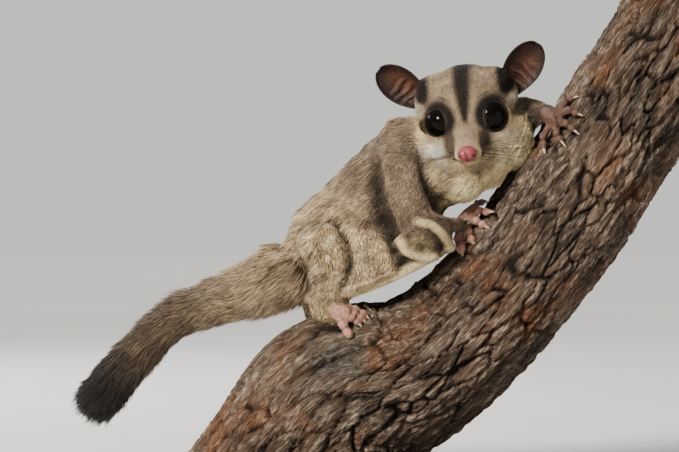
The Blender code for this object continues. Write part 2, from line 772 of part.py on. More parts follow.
def finish_head(nodes):
    """Eyes in their sockets, the nose with its nostrils, the mouth line and the ears."""
    head = nodes["head"]
    turn = head_turn()
    black = material("eye_black", EYE_BLACK, 0.05)
    for side, word in ((-1, "right"), (1, "left")):
        def ball(bm, radius=EYE_RADIUS, side=side):
            add_ball(bm, eye_centre(side), radius, segments=16)

        socket = new_object("socket", lambda bm: ball(bm, EYE_RADIUS + GAP))
        boolean(head, socket, "DIFFERENCE")
        ahead = eye_centre(side) + eye_axis(side) * OPENING_AHEAD
        opening = new_object("opening", lambda bm: add_ball(bm, ahead, OPENING_RADIUS, segments=16))
        boolean(head, opening, "DIFFERENCE")
        remove(socket, opening)
        nodes["eye_" + word] = smooth_shaded(new_object("eye_" + word, ball, black))

    lips = new_object("lips", add_mouth_line)
    boolean(head, lips, "DIFFERENCE")
    remove(lips)

    tip = on_head(*NOSE_PLACE)
    size = (NOSE_WIDTH / 2, NOSE_DEPTH, NOSE_HEIGHT)
    nose = new_object("nose", lambda bm: add_ball(bm, tip, size, turn, 12))
    seat = tuple(r + GAP for r in size)
    bed = new_object("bed", lambda bm: add_ball(bm, tip, seat, turn, 12))
    boolean(head, bed, "DIFFERENCE")
    remove(bed)
    keep_largest(head)
    for side in (-1, 1):
        hole = on_head(side * 2.0, NOSE_PLACE[1] - 2.7, NOSE_PLACE[2] - 0.2)
        pit = new_object("pit", lambda bm: add_ball(bm, hole, NOSTRIL, turn, 8))
        boolean(nose, pit, "DIFFERENCE")
        remove(pit)
    nose.data.materials.clear()
    nose.data.materials.append(material("nose_pink", NOSE_PINK, 0.4))
    nodes["nose"] = nose

    skin = material("ear_brown", EAR_BROWN, 0.7)
    for side, word in ((-1, "right"), (1, "left")):
        ear = ear_shell("ear_" + word, side, skin)
        clear_of(ear, head)
        nodes["ear_" + word] = ear


def add_mouth_line(bm):
    """A thin cutter that follows the lips from the right corner round below the nose to the left."""
    right = [on_head(-9.5, -13.5, -10.5), on_head(-6.5, -20.5, -11.8), on_head(-3.2, -26.5, -12.2)]
    left = [on_head(3.2, -26.5, -12.2), on_head(6.5, -20.5, -11.8), on_head(9.5, -13.5, -10.5)]
    points = right + [on_head(0, -29.0, -11.6)] + left
    add_tube(bm, points, [0.55, 0.7, 0.7, 0.6, 0.7, 0.7, 0.55], sides=6, ends=2)


def ear_shell(name, side, finish):
    """A thin cupped ear that opens forwards and outwards."""
    turn = head_turn()
    rise = math.radians(EAR_RISE[side])
    length = (turn @ Vector((side * math.cos(rise), 0.12, math.sin(rise)))).normalized()
    ahead = turn @ Vector((side * 0.35, -1.0, 0.0))
    opening = (ahead - length * ahead.dot(length)).normalized()
    across = length.cross(opening).normalized()
    base = on_head(side * EAR_PLACE[0], EAR_PLACE[1], EAR_PLACE[2])
    columns, rows = 7, 8

    def fill(bm):
        grid = []
        for j in range(rows):
            v = 0.985 * j / (rows - 1)
            if v < 0.5:
                wide = 0.58 + 0.42 * math.sin(math.pi * v)
            else:
                wide = math.sqrt(max(0.0, 1.0 - ((v - 0.5) / 0.5) ** 2))
            deep = 4.2 * (1.0 - v) ** 0.8 + 1.2 * wide
            row = []
            for i in range(columns):
                u = 2.0 * i / (columns - 1) - 1.0
                place = base + length * (EAR_LENGTH * v) + across * (0.5 * EAR_WIDTH * wide * u)
                place -= opening * (deep * (1.0 - u * u) - 1.4 * v * v)
                row.append(bm.verts.new(place * MM))
            grid.append(row)
        for low, high in zip(grid, grid[1:]):
            for i in range(columns - 1):
                bm.faces.new((low[i], low[i + 1], high[i + 1], high[i]))

    ear = new_object(name, fill, finish)
    thick = ear.modifiers.new("Thick", "SOLIDIFY")
    thick.thickness = EAR_THICKNESS * MM
    thick.offset = 0.0
    return smooth_shaded(applied(ear))


def paw(name, palm, digits, far, finish):
    """A bare hand or foot: palm, digits and claws joined into one closed body."""

    def place(spot):
        x, z, lift = spot
        if not far:
            return over_bark(x, z, lift)
        x, y, z = over_bark(x + FAR_SHIFT[0], z + FAR_SHIFT[2], lift)
        return (x, 2 * BRANCH_DEPTH - y, z)

    line = [place(spot) for spot in palm]
    pieces = [new_object("palm", lambda bm: add_tube(bm, line, PALM_RADII, sides=7, ends=2))]
    for root, knuckle, tip, claw, radius in digits:
        path = [place(root), place(knuckle), place(tip)]
        radii = [radius * 0.95, radius * 1.05, radius]
        pieces.append(new_object("digit", lambda bm: add_tube(bm, path, radii, sides=DIGIT_SIDES, ends=2)))
        if claw is not None:
            start, point = Vector(path[2]), Vector(place(claw))
            middle = start.lerp(point, 0.55) + (start - Vector(path[1])).normalized() * 0.5
            middle.z += 0.35
            horn = [start, middle, point]
            pieces.append(
                new_object("claw", lambda bm: add_tube(bm, horn, CLAW_RADII, sides=4, ends=1))
            )
    return smooth_shaded(united(name, pieces, finish))


def tail_line():
    """Close-set points of the tail's middle line, each as place and outer radius, run on past its end."""
    line = smooth_path([(*p, r) for p, r in TAIL], 121)
    places = [Vector(v[:3]) for v in line]
    radii = [v[3] for v in line]
    step = places[-1] - places[-2]
    for _ in range(TAIL_BEYOND):
        places.append(places[-1] + step)
        radii.append(radii[-1])
    return places, radii


def add_lock(bm, places, radii, axes, start, angle, length, lift, width, thick):
    """One flat tapered lock that leaves the core, bends back and lies along the tail."""
    step = (places[1] - places[0]).length
    rings = []
    for share, height, broad in ((0.0, 0.34, 0.55), (0.3, 0.74, 1.0), (0.62, 0.93, 0.86), (0.85, 0.98, 0.5)):
        k = min(max(int(start + share * length / step), 0), len(places) - 1)
        _, side, up = axes[k]
        out = side * math.cos(angle) + up * math.sin(angle)
        edge = axes[k][0].cross(out)
        centre = places[k] + out * (radii[k] * height * lift)
        half = 0.5 * width * broad
        deep = thick * (0.6 + 0.4 * broad)
        rings.append(
            [
                bm.verts.new((centre - edge * half - out * (0.35 * deep)) * MM),
                bm.verts.new((centre + out * (0.65 * deep)) * MM),
                bm.verts.new((centre + edge * half - out * (0.35 * deep)) * MM),
            ]
        )
    k = min(int(start + length / step), len(places) - 1)
    _, side, up = axes[k]
    out = side * math.cos(angle) + up * math.sin(angle)
    tip = bm.verts.new((places[k] + out * (radii[k] * lift * 0.97)) * MM)
    for low, high in zip(rings, rings[1:]):
        for i in range(3):
            n = (i + 1) % 3
            bm.faces.new((low[i], low[n], high[n], high[i]))
    bm.faces.new(rings[0])
    for i in range(3):
        bm.faces.new((rings[-1][i], rings[-1][(i + 1) % 3], tip))


def core_share(past, reach):
    """The core's share of the outer radius, thick at a node's start, where it carries cut locks."""
    return TAIL_CORE + (TAIL_START - TAIL_CORE) * max(0.0, 1.0 - max(past, 0) / reach)


def tail_nodes(*beside):
    """The tail in three lengths, each a core with rows of overlapping locks fused to it."""
    places, radii = tail_line()
    bone = len(places) - TAIL_BEYOND
    axes = frames_along(places)
    step = (places[1] - places[0]).length
    finishes = (
        material("fur_tan", FUR_BROWN, 0.9),
        material("fur_brown_grey", FUR_GREY, 0.9),
        material("fur_charcoal", FUR_DARK, 0.9),
    )
    cuts = [0, int(TAIL_CUTS[0] * bone), int(TAIL_CUTS[1] * bone), bone - 1]
    words = ("tail_root", "tail_middle", "tail_tip")
    seeded = random.Random(11)
    made = []
    for part, (low, high) in enumerate(zip(cuts, cuts[1:])):
        reach = int(TAIL_LOCK_LENGTH / step)
        picks = list(range(max(low - 8, 0), high, 6))
        picks.append(high)
        line = [places[k] for k in picks]
        width = [radii[k] * core_share(k - low, reach) for k in picks]
        pieces = [new_object("core", lambda bm: add_tube(bm, line, width, sides=12, ends=3))]
        first = low - int(LOCK_LEAD * reach) if part else -int(ROOT_LEAD * reach)
        last = bone - LAST_ROW if part == 2 else high - int(LOCK_STOP * reach)
        for number, start in enumerate(range(first, last, int(TAIL_ROW / step))):
            for k in range(LOCKS_AROUND):
                angle = 2 * math.pi * (k + 0.5 * (number % 2) + seeded.uniform(-0.12, 0.12)) / LOCKS_AROUND
                length = TAIL_LOCK_LENGTH * seeded.uniform(0.85, 1.15)
                lift = seeded.uniform(0.9, 1.06) * (0.8 if start > bone - reach else 1.0)
                pieces.append(lock_piece(places, radii, axes, start, angle, length, lift, 1.0))
        if part == 2:
            for k in range(TIP_LOCKS):
                angle = 2 * math.pi * (k + 0.3) / TIP_LOCKS
                length = TAIL_LOCK_LENGTH * seeded.uniform(0.8, 1.1)
                lift = 0.25 + 0.3 * (k % 2)
                pieces.append(lock_piece(places, radii, axes, bone - 6, angle, length, lift, 0.8))
        node = united(words[part], pieces, finishes[part])
        for cut, sign in ((low, -1), (high, 1)):
            if 0 < cut < bone - 1:
                trim_past(node, places[cut], axes[cut][0] * sign)
        made.append(node)
    clear_of(made[0], *beside, solver="MANIFOLD", by=3 * GAP)
    return made


def lock_piece(places, radii, axes, start, angle, length, lift, broad):
    width = TAIL_LOCK_WIDTH * broad
    return new_object(
        "lock",
        lambda bm: add_lock(
            bm, places, radii, axes, start, angle, length, lift, width, TAIL_LOCK_THICKNESS
        ),
    )


def trim_past(node, place, way):
    """Takes off all of the node that lies past a plane, with half the gap on this side of it."""
    turn = way.to_track_quat("X", "Z").to_matrix().to_4x4()
    centre = place + way.normalized() * (0.5 * TRIM_SIZE - 0.5 * GAP)
    matrix = Matrix.Translation(centre * MM) @ turn
    block = new_object(
        "block", lambda bm: bmesh.ops.create_cube(bm, size=TRIM_SIZE * MM, matrix=matrix)
    )
    boolean(node, block, "DIFFERENCE", "MANIFOLD")
    remove(block)
    keep_largest(node)


def branch_node():
    """The cut length of branch: rings with bark ridges, cut level below and square above."""
    line = smooth_path([(x, z, r) for (x, z), r in BRANCH_AXIS], BRANCH_RINGS)
    sides = BRANCH_SIDES

    def fill(bm):
        rings = []
        for k, (x, z, radius) in enumerate(line):
            before, after = line[max(k - 1, 0)], line[min(k + 1, len(line) - 1)]
            along = Vector((after[0] - before[0], 0, after[1] - before[1])).normalized()
            crest = Vector((-along.z, 0, along.x))
            ring = []
            for j in range(sides):
                a = 2 * math.pi * j / sides
                out = crest * math.cos(a) + Vector((0, 1, 0)) * math.sin(a)
                spot = Vector((3.1 * math.cos(a), 3.1 * math.sin(a), k * 0.16))
                crack = max(0.0, noise.noise(spot) - 0.05)
                depth = BARK_DEPTH * min(1.0, 3.2 * crack)
                ring.append(bm.verts.new((Vector((x, BRANCH_DEPTH, z)) + out * (radius - depth)) * MM))
            rings.append(ring)
        for low, high in zip(rings, rings[1:]):
            for j in range(sides):
                n = (j + 1) % sides
                bm.faces.new((low[j], low[n], high[n], high[j]))
        bm.faces.new(rings[0])
        bm.faces.new(rings[-1])

    branch = new_object("perch_branch", fill, material("bark_brown", BARK_BROWN, 0.9))

    def below(bm):
        place = Matrix.Translation(Vector((-90, BRANCH_DEPTH, BRANCH_FOOT - 60)) * MM)
        bmesh.ops.create_cube(bm, size=120 * MM, matrix=place @ Matrix.Diagonal((2, 1, 1, 1)))

    floor = new_object("below", below)
    boolean(branch, floor, "DIFFERENCE")
    remove(floor)
    branch.data.materials.clear()
    branch.data.materials.append(material("bark_brown", BARK_BROWN, 0.9))
    return branch


def stand_nodes():
    """The flat base and the two short rods that carry the branch's level cut."""
    size = Matrix.Diagonal((BASE_LENGTH * MM, BASE_WIDTH * MM, BASE_HEIGHT * MM, 1.0))
    place = Matrix.Translation((0, 0, 0.5 * BASE_HEIGHT * MM)) @ size
    black = material("stand_black", STAND_BLACK, 0.35)
    base = new_object("stand_base", lambda bm: bmesh.ops.create_cube(bm, size=1.0, matrix=place), black)
    edge = base.modifiers.new("Edge", "BEVEL")
    edge.width = BASE_BEVEL * MM
    edge.segments = 2
    edge.limit_method = "ANGLE"
    applied(base)
    steel = material("stand_steel", STEEL_GREY, 0.3, 1.0)
    low, high = BASE_HEIGHT + GAP, BRANCH_FOOT - GAP
    for name, x in (("stand_rod_rear", ROD_PLACES[0]), ("stand_rod_front", ROD_PLACES[1])):
        spot = Matrix.Translation(Vector((x, BRANCH_DEPTH, 0.5 * (low + high))) * MM)
        radius = ROD_RADIUS * MM
        depth = (high - low) * MM
        new_object(
            name,
            lambda bm: bmesh.ops.create_cone(
                bm, cap_ends=True, segments=16, radius1=radius, radius2=radius, depth=depth, matrix=spot
            ),
            steel,
        )
    return base


def main():
    clear_scene()
    branch = branch_node()
    whole = whole_animal()
    nodes = part_animal(whole, branch)
    remove(whole)
    finish_head(nodes)
    membrane_hems(nodes, branch)
    pink = material("skin_pink", SKIN_PINK, 0.55)
    hand_right = paw("hand_right", PALM_RIGHT, HAND_RIGHT, False, pink)
    hand_left = paw("hand_left", PALM_LEFT, HAND_LEFT, False, pink)
    foot_right = paw("foot_right", SOLE, FOOT, False, pink)
    foot_left = paw("foot_left", SOLE, FOOT, True, pink)
    clear_of(hand_right, nodes["foreleg_right_lower"])
    clear_of(hand_left, nodes["foreleg_left_lower"])
    clear_of(foot_right, nodes["foot_right_heel"])
    clear_of(foot_left, nodes["foot_left_heel"])
    haunches = [n for name, n in nodes.items() if name.startswith(("torso_hips", "hindleg", "foot"))]
    tail_nodes(*haunches, foot_left)
    stand_nodes()


main()
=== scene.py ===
import math

import bpy
import numpy as np
from mathutils import Matrix, Vector, noise
from mathutils.bvhtree import BVHTree
from mathutils.kdtree import KDTree


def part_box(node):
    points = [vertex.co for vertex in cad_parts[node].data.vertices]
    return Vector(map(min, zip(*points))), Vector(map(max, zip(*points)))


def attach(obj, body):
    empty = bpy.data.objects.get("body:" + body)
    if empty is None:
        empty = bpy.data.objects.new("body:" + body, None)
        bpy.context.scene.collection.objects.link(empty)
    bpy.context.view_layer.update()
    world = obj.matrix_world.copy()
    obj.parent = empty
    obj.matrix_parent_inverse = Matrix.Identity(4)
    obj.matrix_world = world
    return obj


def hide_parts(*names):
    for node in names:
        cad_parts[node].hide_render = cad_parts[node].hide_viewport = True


bl_info = {
    "name": "Sugar glider on a branch",
    "version": (1, 0, 0),
    "blender": (4, 5, 0),
    "location": "3D View > Sidebar > Glider",
    "description": "Dresses the plain solids of a museum sugar glider with skin, coat, face, bark and stand",
    "category": "Object",
}

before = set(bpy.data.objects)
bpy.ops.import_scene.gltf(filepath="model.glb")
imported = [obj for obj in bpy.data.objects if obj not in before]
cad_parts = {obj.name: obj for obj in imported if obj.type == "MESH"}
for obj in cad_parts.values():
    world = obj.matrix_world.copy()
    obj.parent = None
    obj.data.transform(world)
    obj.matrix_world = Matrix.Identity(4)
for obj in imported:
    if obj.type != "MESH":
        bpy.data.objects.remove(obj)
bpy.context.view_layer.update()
MM = 0.001
NOISE_SEED = 7  # without it, vector noise would take its offsets from the clock
noise.seed_set(NOISE_SEED)

# The head's place and turn, the same as in the solids
HEAD_CENTRE = (12.0, 2.0, 160.0)
HEAD_PITCH = 14.0
HEAD_ROLL = 7.0
HEAD_TURN = 9.0
EYE_RADIUS = 7.0
EYE_PLACE = (10.1, -8.4, 1.6)
EYE_OUTWARD = 32.0
LID_CORNER = 4.85  # the opening's radius at its corners, and how much more it is above and below
LID_OPENS = 1.05
LID_WIDTH = 2.9
EAR_LENGTH = 22.5
EAR_WIDTH = 16.0
EAR_PLACE = (18.6, 3.0, 10.0)
EAR_RISE = {-1: 43.0, 1: 52.0}
SKULL_CORNER = (11.8, 1.0, 15.6)  # place and radii of the fur that squares the top of the head
SKULL_RADII = (8.0, 8.0, 5.8)
EAR_TUFT = (16.0, 1.0, 15.4)  # longer fur before each ear
NOSE_PLACE = (0.0, -29.0, -8.6)
NOSE_RADII = (3.95, 3.6, 3.45)
SIDES = ((-1, "right"), (1, "left"))

# The branch's axis in the plane of X and Z, each point with the radius there
BRANCH_DEPTH = 10.0
BRANCH_FOOT = 18.0
FOOT_PITH = -0.0628  # where the axis meets the lower cut, in metres
BRANCH_AXIS = (
    (-81.5, -3.0, 32.0),
    (-58.6, 22.7, 36.6),
    (-38.6, 41.4, 38.2),
    (-5.0, 57.2, 31.0),
    (26.9, 86.1, 27.8),
    (53.7, 121.8, 28.3),
    (75.4, 154.5, 27.2),
    (94.9, 186.9, 26.6),
    (109.0, 209.0, 26.3),
)

BARK_RADIUS = 31.0  # the straightened branch on which the bark's pattern is worked out
BARK_TOP = 1.7
LICHEN_PLACE = (-45.0, 62.0)  # x and z of the middle of the patch, and its half width and height
LICHEN_SIZE = (16.0, 11.0)

# Lines that the coat lies along, from the nose backwards and from the body outwards
SPINE_LINE = (
    (10.0, 11.0, 158.0),
    (5.0, 7.0, 151.0),
    (-5.0, 5.0, 143.5),
    (-16.5, 6.0, 134.0),
    (-28.0, 7.0, 124.0),
    (-40.5, 9.0, 114.5),
    (-51.5, 12.0, 109.0),
    (-58.5, 14.5, 102.0),
)
TAIL_LINE = (
    (-56.0, 13.5, 101.5, 13.5),
    (-66.0, 18.5, 94.5, 14.2),
    (-77.0, 24.0, 89.0, 13.9),
    (-90.5, 32.0, 84.0, 12.4),
    (-104.6, 40.0, 78.6, 10.6),
    (-117.0, 48.0, 72.5, 9.8),
    (-126.5, 54.5, 64.0, 10.0),
    (-136.0, 61.0, 54.5, 10.6),
    (-145.5, 68.0, 44.0, 11.2),
    (-152.0, 73.5, 36.0, 11.0),
)
ARM_LINE = ((-2.0, -8.0, 134.0), (-13.0, -14.0, 109.0), (-4.0, -18.0, 112.0), (6.0, -20.0, 115.0))
FAR_ARM_LINE = ((16.0, 22.0, 140.0), (30.0, 14.0, 150.0), (44.0, 0.0, 160.0))
LEG_LINE = ((-45.0, -6.0, 112.0), (-44.0, -16.0, 96.0), (-50.0, -18.0, 86.0), (-42.0, -20.0, 79.0))
FAR_LEG_LINE = ((-48.0, 26.0, 110.0), (-47.0, 36.0, 94.0), (-53.0, 38.0, 84.0), (-45.0, 40.0, 77.0))

# The coat on each region: how far the skin lies inside the solids, then a tuft's length and width,
# all in millimetres, the tufts on a square millimetre, and how far they stand up in degrees
COAT = {
    "head": (0.8, 2.0, 0.26, 8.4, 15.0),
    "neck": (1.4, 3.2, 0.30, 6.6, 11.0),
    "torso_chest": (1.7, 4.2, 0.34, 5.6, 14.0),
    "torso_belly": (1.8, 4.8, 0.38, 4.9, 16.0),
    "torso_hips": (1.9, 6.2, 0.46, 4.0, 21.0),
    "foreleg": (1.2, 2.9, 0.31, 5.8, 14.0),
    "hindleg": (1.5, 4.0, 0.37, 5.0, 17.0),
    "foot_heel": (1.1, 3.0, 0.38, 4.8, 22.0),
    "patagium": (0.8, 2.2, 0.30, 5.6, 12.0),
    "hand": (-0.2, 0.9, 0.16, 0.8, 14.0),
    "foot": (-0.2, 0.9, 0.16, 0.8, 14.0),
    "tail": (0.0, 11.0, 0.44, 4.0, 23.0),
}
# How loose the coat lies: 0 sleek, 1 parted in locks
LOOSE = {
    "head": 0.0, "neck": 0.08, "torso_chest": 0.35, "torso_belly": 0.6, "torso_hips": 1.0, "foreleg": 0.15,
    "hindleg": 0.7, "foot_heel": 0.4, "patagium": 0.0, "hand": 0.0, "foot": 0.0, "tail": 0.5,
}
PAWS = ("hand_right", "hand_left", "foot_right", "foot_left")
FLESH = (
    "head", "neck", "torso_chest", "torso_belly", "torso_hips",
    "foreleg_right_upper", "foreleg_right_lower", "foreleg_left_upper", "foreleg_left_lower",
    "hand_right", "hand_left",
    "hindleg_right_upper", "hindleg_right_lower", "hindleg_left_upper", "hindleg_left_lower",
    "foot_right_heel", "foot_left_heel", "foot_right", "foot_left",
    "patagium_right", "patagium_left",
)
INSET, LENGTH, WIDTH, COVER, RISE = range(5)  # the columns of COAT
PALE_NODES = ("head", "neck", "patagium_right", "patagium_left")
TAIL_NODES = ("tail_root", "tail_middle", "tail_tip")

# Creases of the coat as x and z: behind the upper arm, before the thigh, and between arm and chest
CREASES = (
    ((-27.0, 144.0), (-26.6, 134.0), (-24.6, 123.0), (-21.0, 113.0), (-18.0, 105.0)),
    ((-43.5, 118.0), (-39.8, 109.2), (-38.4, 100.1), (-40.8, 91.0)),
    ((-9.0, 144.0), (-4.9, 131.0), (-0.8, 124.1), (4.5, 121.8), (11.6, 120.4)),
)
CREASE_WIDTH = 2.3
CREASE_DEPTH = 2.0
# Rolled edges of the near gliding membrane, at the wrist, under the elbow and along the belly
WRIST_EDGE = ((-10.5, -23.4, 116.6), (-5.0, -23.0, 115.6), (-0.5, -20.6, 112.2), (4.0, -13.6, 106.0))
POUCH_EDGE = ((-18.0, -19.6, 109.0), (-15.0, -19.6, 104.4), (-9.5, -17.5, 102.2), (-3.0, -16.0, 101.6))
MEMBRANE_EDGE = ((-4.1, -14.6, 101.2), (-21.4, -14.4, 93.2), (-37.9, -12.6, 87.2))
JAW = ((-8.6, 148.5), (-6.6, 145.2), (-1.0, 141.4), (5.2, 138.4), (11.3, 137.4), (17.0, 139.6), (23.0, 145.0))
NAPE_EDGE = ((140.0, 146.0, 153.0, 160.0), (-5.7, -7.0, -8.5, -9.9))  # heights, and x behind the near cheek
TAIL_CORE = 0.66  # the skin's share of the tail's outer radius
SWELL = 0.3  # millimetres by which the flesh is grown, so that its pieces merge
WHISKER_COLOUR = (0.03, 0.022, 0.018)
WHISKER_RADIUS = 0.10
TUFTS_A_PIECE = 19000
CLUMP_STEP = 13  # one tuft in so many is the middle of a small clump
LOCK_STEP = 90  # one tuft in so many is the middle of a wide lock
PATCH = 0.003  # the size of a tuft's own patch on the map, and half its width
PATCH_HALF_WIDTH = 0.0014
COLLAR_PLACE = (28.0, -6.0, 147.0)  # where throat, neck and far arm meet
COLLAR_RADII = (11.0, 11.0, 15.0)
LID_COLOUR = (0.022, 0.016, 0.014)

# Fingers and toes on the near bark: x, z and lift of the last knuckle, the tip and the claw's point, and
# the radius, in millimetres. The big toe has no claw, and the far foot is shifted from the near one.
HAND_RIGHT = (
    ((7.8, 109.6, 3.8), (8.6, 105.4, 2.5), (9.3, 102.4, 0.5), 2.1),
    ((11.4, 112.6, 4.2), (12.9, 109.3, 2.1), (14.3, 107.3, 0.5), 1.65),
    ((14.8, 117.4, 4.2), (17.7, 115.5, 2.0), (20.4, 113.8, 0.5), 1.6),
    ((16.4, 121.6, 4.0), (19.6, 120.9, 2.0), (22.6, 121.0, 0.5), 1.5),
    ((16.2, 124.6, 3.6), (18.4, 125.2, 1.9), (20.8, 125.2, 0.6), 1.4),
)
HAND_LEFT = (
    ((51.6, 166.8, 3.2), (54.3, 168.2, 1.8), (57.9, 168.9, 0.5), 1.45),
    ((52.4, 163.2, 3.4), (55.8, 161.9, 1.8), (58.5, 160.4, 0.5), 1.45),
    ((51.2, 157.8, 3.4), (53.9, 155.3, 1.8), (57.0, 152.5, 0.5), 1.45),
    ((47.6, 153.6, 3.2), (49.0, 151.0, 1.8), (51.6, 147.4, 0.5), 1.45),
    ((42.6, 152.8, 3.2), (42.6, 148.6, 1.9), (43.4, 144.8, 0.5), 1.5),
)
FOOT = (
    ((-36.6, 82.6, 4.2), (-31.6, 81.6, 2.0), (-28.9, 79.2, 0.5), 1.5),
    ((-36.0, 80.6, 4.2), (-32.2, 78.6, 2.0), (-29.8, 76.2, 0.5), 1.5),
    ((-36.2, 78.6, 3.8), (-33.2, 77.0, 2.0), (-31.4, 74.9, 0.5), 1.5),
    ((-37.2, 77.0, 3.6), (-35.0, 75.4, 1.9), (-33.0, 73.2, 0.5), 1.4),
)
BIG_TOE = (((-41.0, 74.6, 3.4), (-38.4, 70.6, 2.2), None, 1.85),)
FAR_SHIFT = (-3.0, -2.2)
CAMERA_PLACE = (-0.0422, -0.8, 0.115)


# Sizes and colours that a user may change


def colour(name, words, value):
    """A colour that a user can change."""
    return bpy.props.FloatVectorProperty(
        name=name, description=words, default=value, subtype="COLOR", size=3, min=0.0, max=1.0
    )


def length(name, words, value):
    """A length that a user can change."""
    return bpy.props.FloatProperty(name=name, description=words, default=value, unit="LENGTH", precision=5)


def factor(name, words, value):
    """A plain factor that a user can change."""
    return bpy.props.FloatProperty(name=name, description=words, default=value)


class GliderSkinSizes(bpy.types.PropertyGroup):
    grain: length("Skin grain", "Size of the cells that the flesh is merged with", 0.00084)
    nose: colour("Nose", "Bare pink skin of the nose", (0.31, 0.050, 0.060))
    paw: colour("Paws", "Bare skin of hands and feet", (0.50, 0.255, 0.185))
    ear: colour("Ears", "Bare skin of the ears", (0.026, 0.0135, 0.0098))
    claw: colour("Claws", "Horn of the claws", (0.50, 0.40, 0.26))
    eye: colour("Eyes", "The dark iris and pupil", (0.004, 0.003, 0.0024))
    whisker_length: length("Whiskers", "Length of the longest whisker", 0.033)


class GliderCoatSizes(bpy.types.PropertyGroup):
    cover: factor("Cover", "Share of the full number of tufts", 0.84)
    tuft: factor("Tuft length", "Multiplies every tuft's length", 1.0)
    clump: factor("Clumping", "How far tips gather", 0.5)
    cream: colour("Cream", "Throat, chest, cheeks and edge of the membrane", (0.87, 0.67, 0.375))
    face: colour("Face", "Pale tan of the forehead and cheeks", (0.49, 0.36, 0.225))
    grey: colour("Grey", "Flanks and arms", (0.35, 0.25, 0.168))
    tan: colour("Tan", "Rump and thighs", (0.84, 0.61, 0.37))
    back: colour("Back", "Shoulder and back", (0.31, 0.222, 0.148))
    dark: colour("Dark", "Stripe, eye rings and ear patches", (0.030, 0.0185, 0.0125))
    tail: colour("Tail", "Middle of the tail", (0.124, 0.083, 0.050))
    tail_end: colour("Tail end", "Last quarter of the tail", (0.013, 0.0105, 0.0095))


class BranchSizes(bpy.types.PropertyGroup):
    grain: length("Bark grain", "Distance between the points of the bark", 0.00073)
    crack: length("Crack depth", "Depth of the cracks between plates", 0.0024)
    plate: colour("Bark", "Face of a bark plate", (0.074, 0.045, 0.028))
    # paler ridges, by the relief's height: weathering and painted highlight
    ridge: colour("Ridge", "Weathered ridges", (0.35, 0.27, 0.20))
    rust: colour("Rust", "Red-brown inner bark", (0.215, 0.082, 0.032))
    lichen: colour("Lichen", "Grey-green patch", (0.125, 0.125, 0.098))
    wood: colour("Wood", "Cut face of the branch", (0.45, 0.30, 0.17))


class StandSizes(bpy.types.PropertyGroup):
    paint: colour("Base paint", "Satin black of the base", (0.022, 0.022, 0.024))
    steel: colour("Rods", "Brushed steel of the rods", (0.42, 0.42, 0.43))


class StageSizes(bpy.types.PropertyGroup):
    floor: colour("Floor", "Pale floor", (0.93, 0.91, 0.88))
    lens: bpy.props.FloatProperty(name="Lens", description="Focal length in millimetres", default=101.0)
    key: bpy.props.FloatProperty(name="Key light", description="Strength of the key light", default=5.2)


SIZE_GROUPS = (
    ("glider_skin", GliderSkinSizes),
    ("glider_coat", GliderCoatSizes),
    ("glider_branch", BranchSizes),
    ("glider_stand", StandSizes),
    ("glider_stage", StageSizes),
)


# Small helpers for meshes and places


def deselect_all():
    """Nothing stays selected."""
    bpy.ops.object.select_all(action="DESELECT")


def only(obj):
    """One object is selected and active."""
    deselect_all()
    obj.select_set(True)
    bpy.context.view_layer.objects.active = obj
    return obj


def apply_modifiers(obj):
    """The object's modifiers, applied to its mesh."""
    only(obj)
    for modifier in list(obj.modifiers):
        bpy.ops.object.modifier_apply(modifier=modifier.name)
    return obj


def mesh_object(name, points, faces):
    """A new object from points in millimetres and an array or list of faces."""
    mesh = bpy.data.meshes.new(name)
    points = np.asarray(points, dtype=np.float64) * MM
    mesh.from_pydata(points.tolist(), [], [list(map(int, f)) for f in faces])
    obj = bpy.data.objects.new(name, mesh)
    bpy.context.scene.collection.objects.link(obj)
    return obj


def smooth(obj):
    """Smooth shading all over."""
    only(obj)
    bpy.ops.object.shade_smooth()
    return obj


def outwards(obj):
    """Doubled points merged, and all faces turned outwards."""
    only(obj)
    bpy.ops.object.mode_set(mode="EDIT")
    bpy.ops.mesh.select_all(action="SELECT")
    bpy.ops.mesh.remove_doubles(threshold=1e-6)
    bpy.ops.mesh.normals_make_consistent(inside=False)
    bpy.ops.object.mode_set(mode="OBJECT")
    return obj


def finish_piece(obj, material, replaced=()):
    """Gives a piece its material, its body and the solids that it stands for."""
    if material is not None:
        obj.data.materials.clear()
        obj.data.materials.append(material)
    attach(obj, "root")
    if replaced:
        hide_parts(*replaced)
    return obj


def soft(values, low, high):
    """A smooth step from 0 at low to 1 at high."""
    t = np.clip((values - low) / (high - low), 0.0, 1.0)
    return t * t * (3.0 - 2.0 * t)


def fade(values, low, high):
    """A smooth step from 1 at low down to 0 at high."""
    return 1.0 - soft(values, low, high)


def hump(values, width):
    """A smooth hump, 1 where the values are 0."""
    return np.exp(-((values / width) ** 2))


def oval(axes, centre, radii):
    """How far out places lie in an oval, 1 at its edge. Axes, centre and radii go together."""
    return np.sqrt(sum(((a - c) / r) ** 2 for a, c, r in zip(axes, centre, radii)))


def laid(tint, mask, shade):
    """The tint with a shade laid over it where the mask is 1."""
    return tint + np.clip(mask, 0.0, 1.0)[:, None] * (np.asarray(shade) - tint)


def unit(vectors):
    """Vectors brought to a length of one."""
    return vectors / np.maximum(np.linalg.norm(vectors, axis=-1, keepdims=True), 1e-9)


def smooth_path(places, count):
    """Points on a smooth curve through the places, with any values that ride along."""
    places = np.array(places, float)
    along = np.linspace(0.0, len(places) - 1, count)
    i = np.minimum(along.astype(int), len(places) - 2)
    t = (along - i)[:, None]
    a, b = places[np.maximum(i - 1, 0)], places[i]
    c, d = places[i + 1], places[np.minimum(i + 2, len(places) - 1)]
    return 0.5 * (2 * b + (c - a) * t + (2 * a - 5 * b + 4 * c - d) * t**2 + (3 * b - a - 3 * c + d) * t**3)


